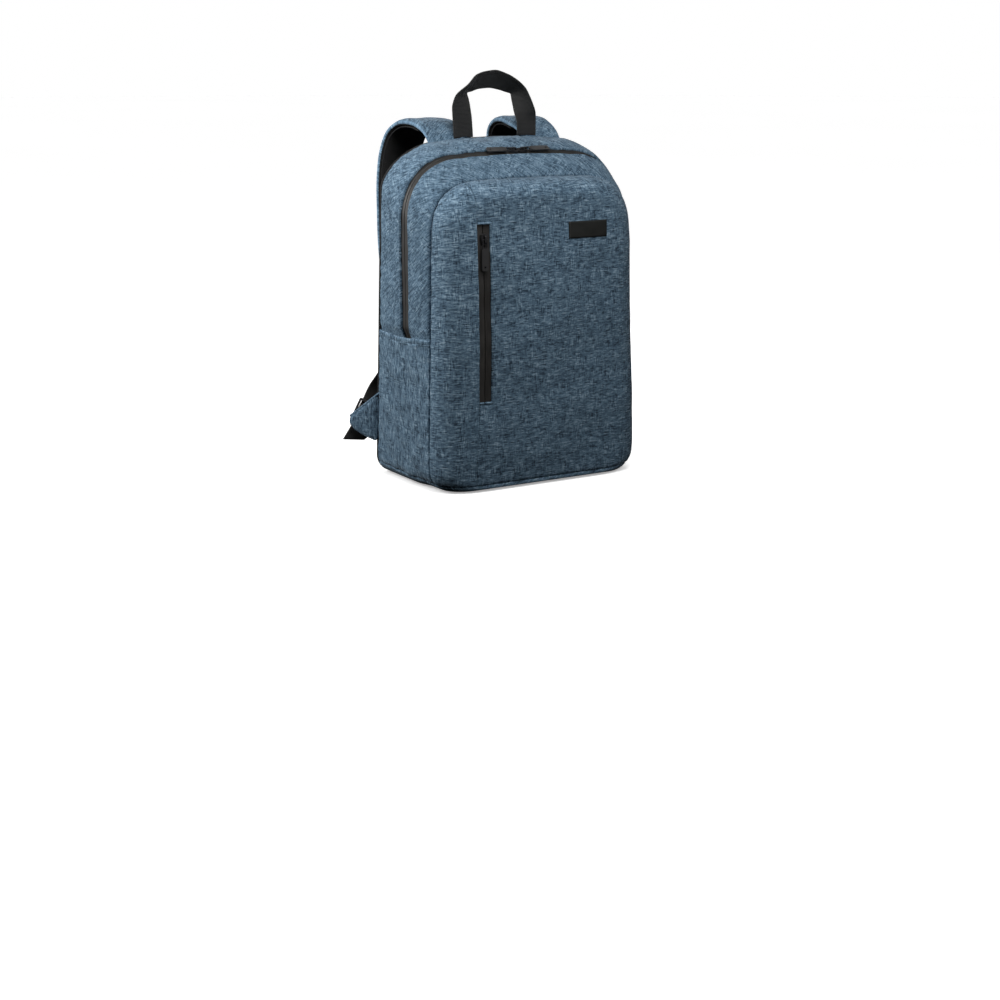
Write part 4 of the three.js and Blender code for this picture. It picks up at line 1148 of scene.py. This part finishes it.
def wing(side, sign):
    outer = [wing_point(out, lerp(WING_LOW, WING_HIGH, up)) for out, up in WING_EDGE]
    steps = np.arange(8)[:, None] / 8
    loop = np.concatenate([a + (b - a) * steps for a, b in zip(outer, outer[1:] + outer[:1])])
    for _ in range(2):
        loop = 0.5 * loop + 0.25 * (np.roll(loop, 1, 0) + np.roll(loop, -1, 0))
    centre = loop.mean(0)
    layers = [(scale, -height) for scale, height in WING_PROFILE[:0:-1]] + WING_PROFILE
    rings = np.array([(loop - centre) * scale + WING_BACK * height * WING_THICK / 2
                      for scale, height in layers])
    flat = np.stack([rings @ WING_DIRECTION, rings[..., 2]], -1)
    made = tube(f"wing_cloth_{side}", (rings + centre) * (sign, 1, 1), flat, CLOTH_SIDE)
    place(made, f"anchor_wing_{side}", slot="cloth")
    crest = outer[5] + (outer[4] - outer[5]) * np.linspace(-0.02, 1.0, 24)[:, None]
    out = unit(np.cross(crest[-1] - crest[0], WING_BACK))
    turns = np.linspace(0, math.tau, 13)[:-1, None]
    pipe = crest[:, None] + PIPING * (out * np.cos(turns) + WING_BACK * np.sin(turns))[None]
    uv = np.stack(np.broadcast_arrays(np.arange(12)[None] * 0.0008, np.arange(24)[:, None] * 0.003), -1)
    place(tube(f"wing_piping_{side}", pipe * (sign, 1, 1), uv, CLOTH_STRAP), slot="cloth")


def band_row(p, wide, half, thick):
    return (*p, *unit(np.asarray(wide, float)), half, thick)


def loop_rows():
    middle = wing_point(0, lerp(WING_LOW, WING_HIGH, 0.3))
    flat_wide = unit(LOCK_WIDE - WING_BACK * np.dot(LOCK_WIDE, WING_BACK))

    def on_wing(up, layer):
        here = in_lock(up, 0)
        off = WING_THICK / 2 + CLEAR + WEB_THICK / 2 + layer * (WEB_THICK + CLEAR)
        here = here + WING_BACK * (off - np.dot(here - middle, WING_BACK))
        return band_row(here, flat_wide, WEB_WIDTH / 2, WEB_THICK)

    def in_plane(up, behind):
        return band_row(in_lock(up, behind), LOCK_WIDE, WEB_WIDTH / 2, WEB_THICK)

    crest = BAR_LOW + 0.0012
    return [
        on_wing(BAR_LOW - 0.012, 0), on_wing(BAR_LOW - 0.008, 0),
        in_plane(BAR_LOW - 0.0026, -WEB_OFF - 0.0002), in_plane(BAR_LOW + 0.0003, -WEB_OFF - 0.0001),
        in_plane(crest - 0.0001, -WEB_OFF * 0.76), in_plane(crest, 0),
        in_plane(crest - 0.0001, WEB_OFF * 0.76),
        in_plane(BAR_LOW + 0.0003, WEB_OFF + 0.0001), in_plane(BAR_LOW - 0.0042, WEB_OFF),
        on_wing(BAR_LOW - 0.008, 1), on_wing(BAR_LOW - 0.012, 1),
    ]


WEBBING_ROWS = [(4.2, 0.5), (1.3, 1), (1.04, 1), (0.73, 1), (0.464, 0), (0.186, -0.96), (0, -1.08),
                (-0.186, -0.96), (-0.4, 0), (-0.586, 1.16), (-0.714, 1.76), (-1, 1.96)]
TAIL_ROWS = [(0.002, 0.002, -0.007), (0.007, 0.0035, -0.014), (0.015, 0.0035, -0.0225)]


def webbing_rows():
    end = strap_point(*STRAP_ROWS[-1][:3])
    down = unit(end - strap_point(*STRAP_ROWS[-2][:3]))
    start_wide = np.array([-1.0, 0, 0])
    rows = [band_row(end + down * run, start_wide, WEB_WIDTH / 2, WEB_THICK) for run in (-0.006, 0.008)]
    for up, behind in WEBBING_ROWS:
        share = float(clamp(1.55 - up / 2.7))
        wide = lerp(start_wide, LOCK_WIDE, share)
        rows.append(band_row(in_lock(up * LOCK_LENGTH / 2, behind * WEB_OFF), wide, WEB_WIDTH / 2, WEB_THICK))
    top = in_lock(-LOCK_LENGTH / 2, WEB_OFF * 1.96)
    for i, move in enumerate(TAIL_ROWS):
        share = (i + 1) / (len(TAIL_ROWS) + 1)
        wide = lerp(LOCK_WIDE, start_wide, share)
        rows.append(band_row(top + np.array(move), wide, WEB_WIDTH / 2, WEB_THICK))
    return rows


def mirrored_rows(rows, sign):
    rows = np.array(rows, float)
    rows[:, 0] *= sign
    rows[:, 3] *= sign
    return rows


for side_name, side_sign in (("left", -1), ("right", 1)):
    wing(side_name, side_sign)
    for piece, node, band in (("loop_web", "anchor_loop", loop_rows),
                              ("lower_web", "lower_webbing", webbing_rows)):
        rows = mirrored_rows(band(), side_sign)
        made = ribbon(f"{piece}_{side_name}", rows, strip_shape(10), WEB_FINISH, 4)
        place(made, f"{node}_{side_name}", slot="webbing")


# Hard parts stay as they are, with rounded edges and their own finishes
def dress(node, finish, bevel):
    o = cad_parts[node]
    for slot_item in o.material_slots:
        slot_item.material = finish
    if not o.material_slots:
        o.data.materials.append(finish)
    edge = o.modifiers.new("edge", "BEVEL")
    edge.width = bevel
    edge.segments = 2
    edge.limit_method = "ANGLE"
    edge.angle_limit = math.radians(35)


for zip_name, side_name in (("front_zip", ""), ("main_zip", "_left"), ("main_zip", "_right")):
    dress(f"{zip_name}_slider{side_name}", METAL_FINISH, 0.0003)
    dress(f"{zip_name}_pull_link{side_name}", METAL_FINISH, 0.00025)
    dress(f"{zip_name}_pull_tab{side_name}", PULL_FINISH, 0.0004)
for side_name in ("left", "right"):
    dress(f"ladder_lock_{side_name}", PLASTIC_FINISH, 0.0006)


# Stage: a pale floor inside a plain white room, neither of which lights the bag from below
def stage_piece(name, points, faces, diffuse, glow):
    s = Surface(name, (diffuse,) * 3, 0.9, Specular_IOR_Level=0.0, Emission_Strength=glow,
                Emission_Color=(1, 1, 1, 1))
    dust = s.grain((0.8, 0.8, 0.8), 3.0, uv=False)
    s.color(s.ramp(dust, (0.3, (diffuse,) * 3), (0.7, (diffuse * 0.985,) * 3)))
    s.material.cycles.emission_sampling = "NONE"
    made = mesh_object(name, points, faces, finish=s.material)
    made.visible_diffuse = False
    made.visible_glossy = False
    made.visible_shadow = False
    return made


ROOM = 15.0
floor = stage_piece("floor", [(-ROOM, -ROOM, 0), (ROOM, -ROOM, 0), (ROOM, ROOM, 0), (-ROOM, ROOM, 0)],
                    [(0, 1, 2, 3)], 0.9, 0.36)
floor.location.z = -0.0005
wall_ring = [(ROOM * math.cos(a), ROOM * math.sin(a), h)
             for h in (-0.1, ROOM) for a in np.linspace(0, math.tau, 49)[:-1]]
wall_faces = grid_faces(2, 48, wrap=True) + [tuple(range(48, 96))]
stage_piece("room", wall_ring, wall_faces, 0.0, 1.0)

world = bpy.data.worlds.new("studio")
bpy.context.scene.world = world
world.use_nodes = True
nodes, links = world.node_tree.nodes, world.node_tree.links
spot = nodes.new("ShaderNodeTexCoord")
split_sky = nodes.new("ShaderNodeSeparateXYZ")
links.new(spot.outputs["Generated"], split_sky.inputs[0])
height = nodes.new("ShaderNodeMapRange")
links.new(split_sky.outputs["Z"], height.inputs["Value"])
height.interpolation_type = "SMOOTHSTEP"
height.inputs["From Min"].default_value = -0.15
height.inputs["From Max"].default_value = 0.95
height.inputs["To Min"].default_value = 0.05
height.inputs["To Max"].default_value = 0.42
links.new(height.outputs["Result"], nodes["Background"].inputs["Strength"])


def lamp_at(name, data, at, aim):
    lamp = bpy.data.objects.new(name, data)
    lamp.location = at
    lamp.rotation_mode = "QUATERNION"
    lamp.rotation_quaternion = (Vector(aim) - Vector(at)).to_track_quat("-Z", "Y")
    bpy.context.scene.collection.objects.link(lamp)
    return lamp


def softbox(name, at, aim, size, power):
    data = bpy.data.lights.new(name, "AREA")
    data.shape = "RECTANGLE"
    data.size, data.size_y = size
    data.energy = power
    return lamp_at(name, data, at, aim)


softbox("key_box", (-0.20, -0.46, 0.98), (0, -0.02, 0.25), (0.5, 0.4), 4.6)
softbox("front_box", (0.10, -1.35, 0.85), (0, -0.05, 0.28), (0.6, 0.5), 3.9)
softbox("left_box", (-0.90, 0.36, 0.62), (-0.1, 0.03, 0.24), (0.5, 0.5), 8.5)
softbox("rear_box", (0.55, 0.95, 0.9), (0, 0.05, 0.25), (0.7, 0.6), 5.0)

# One wide soft sun for the floor alone, so that it stays white away from the bag
sun = bpy.data.lights.new("floor_sun", "SUN")
sun.energy = 2.2
sun.angle = math.radians(100)
floor_sun = lamp_at("floor_sun", sun, (0, 0, 3), (0.1, 0.15, 0))
receivers = bpy.data.collections.new("floor_only")
receivers.objects.link(floor)
floor_sun.light_linking.receiver_collection = receivers
bpy.context.scene.view_settings.view_transform = "Standard"
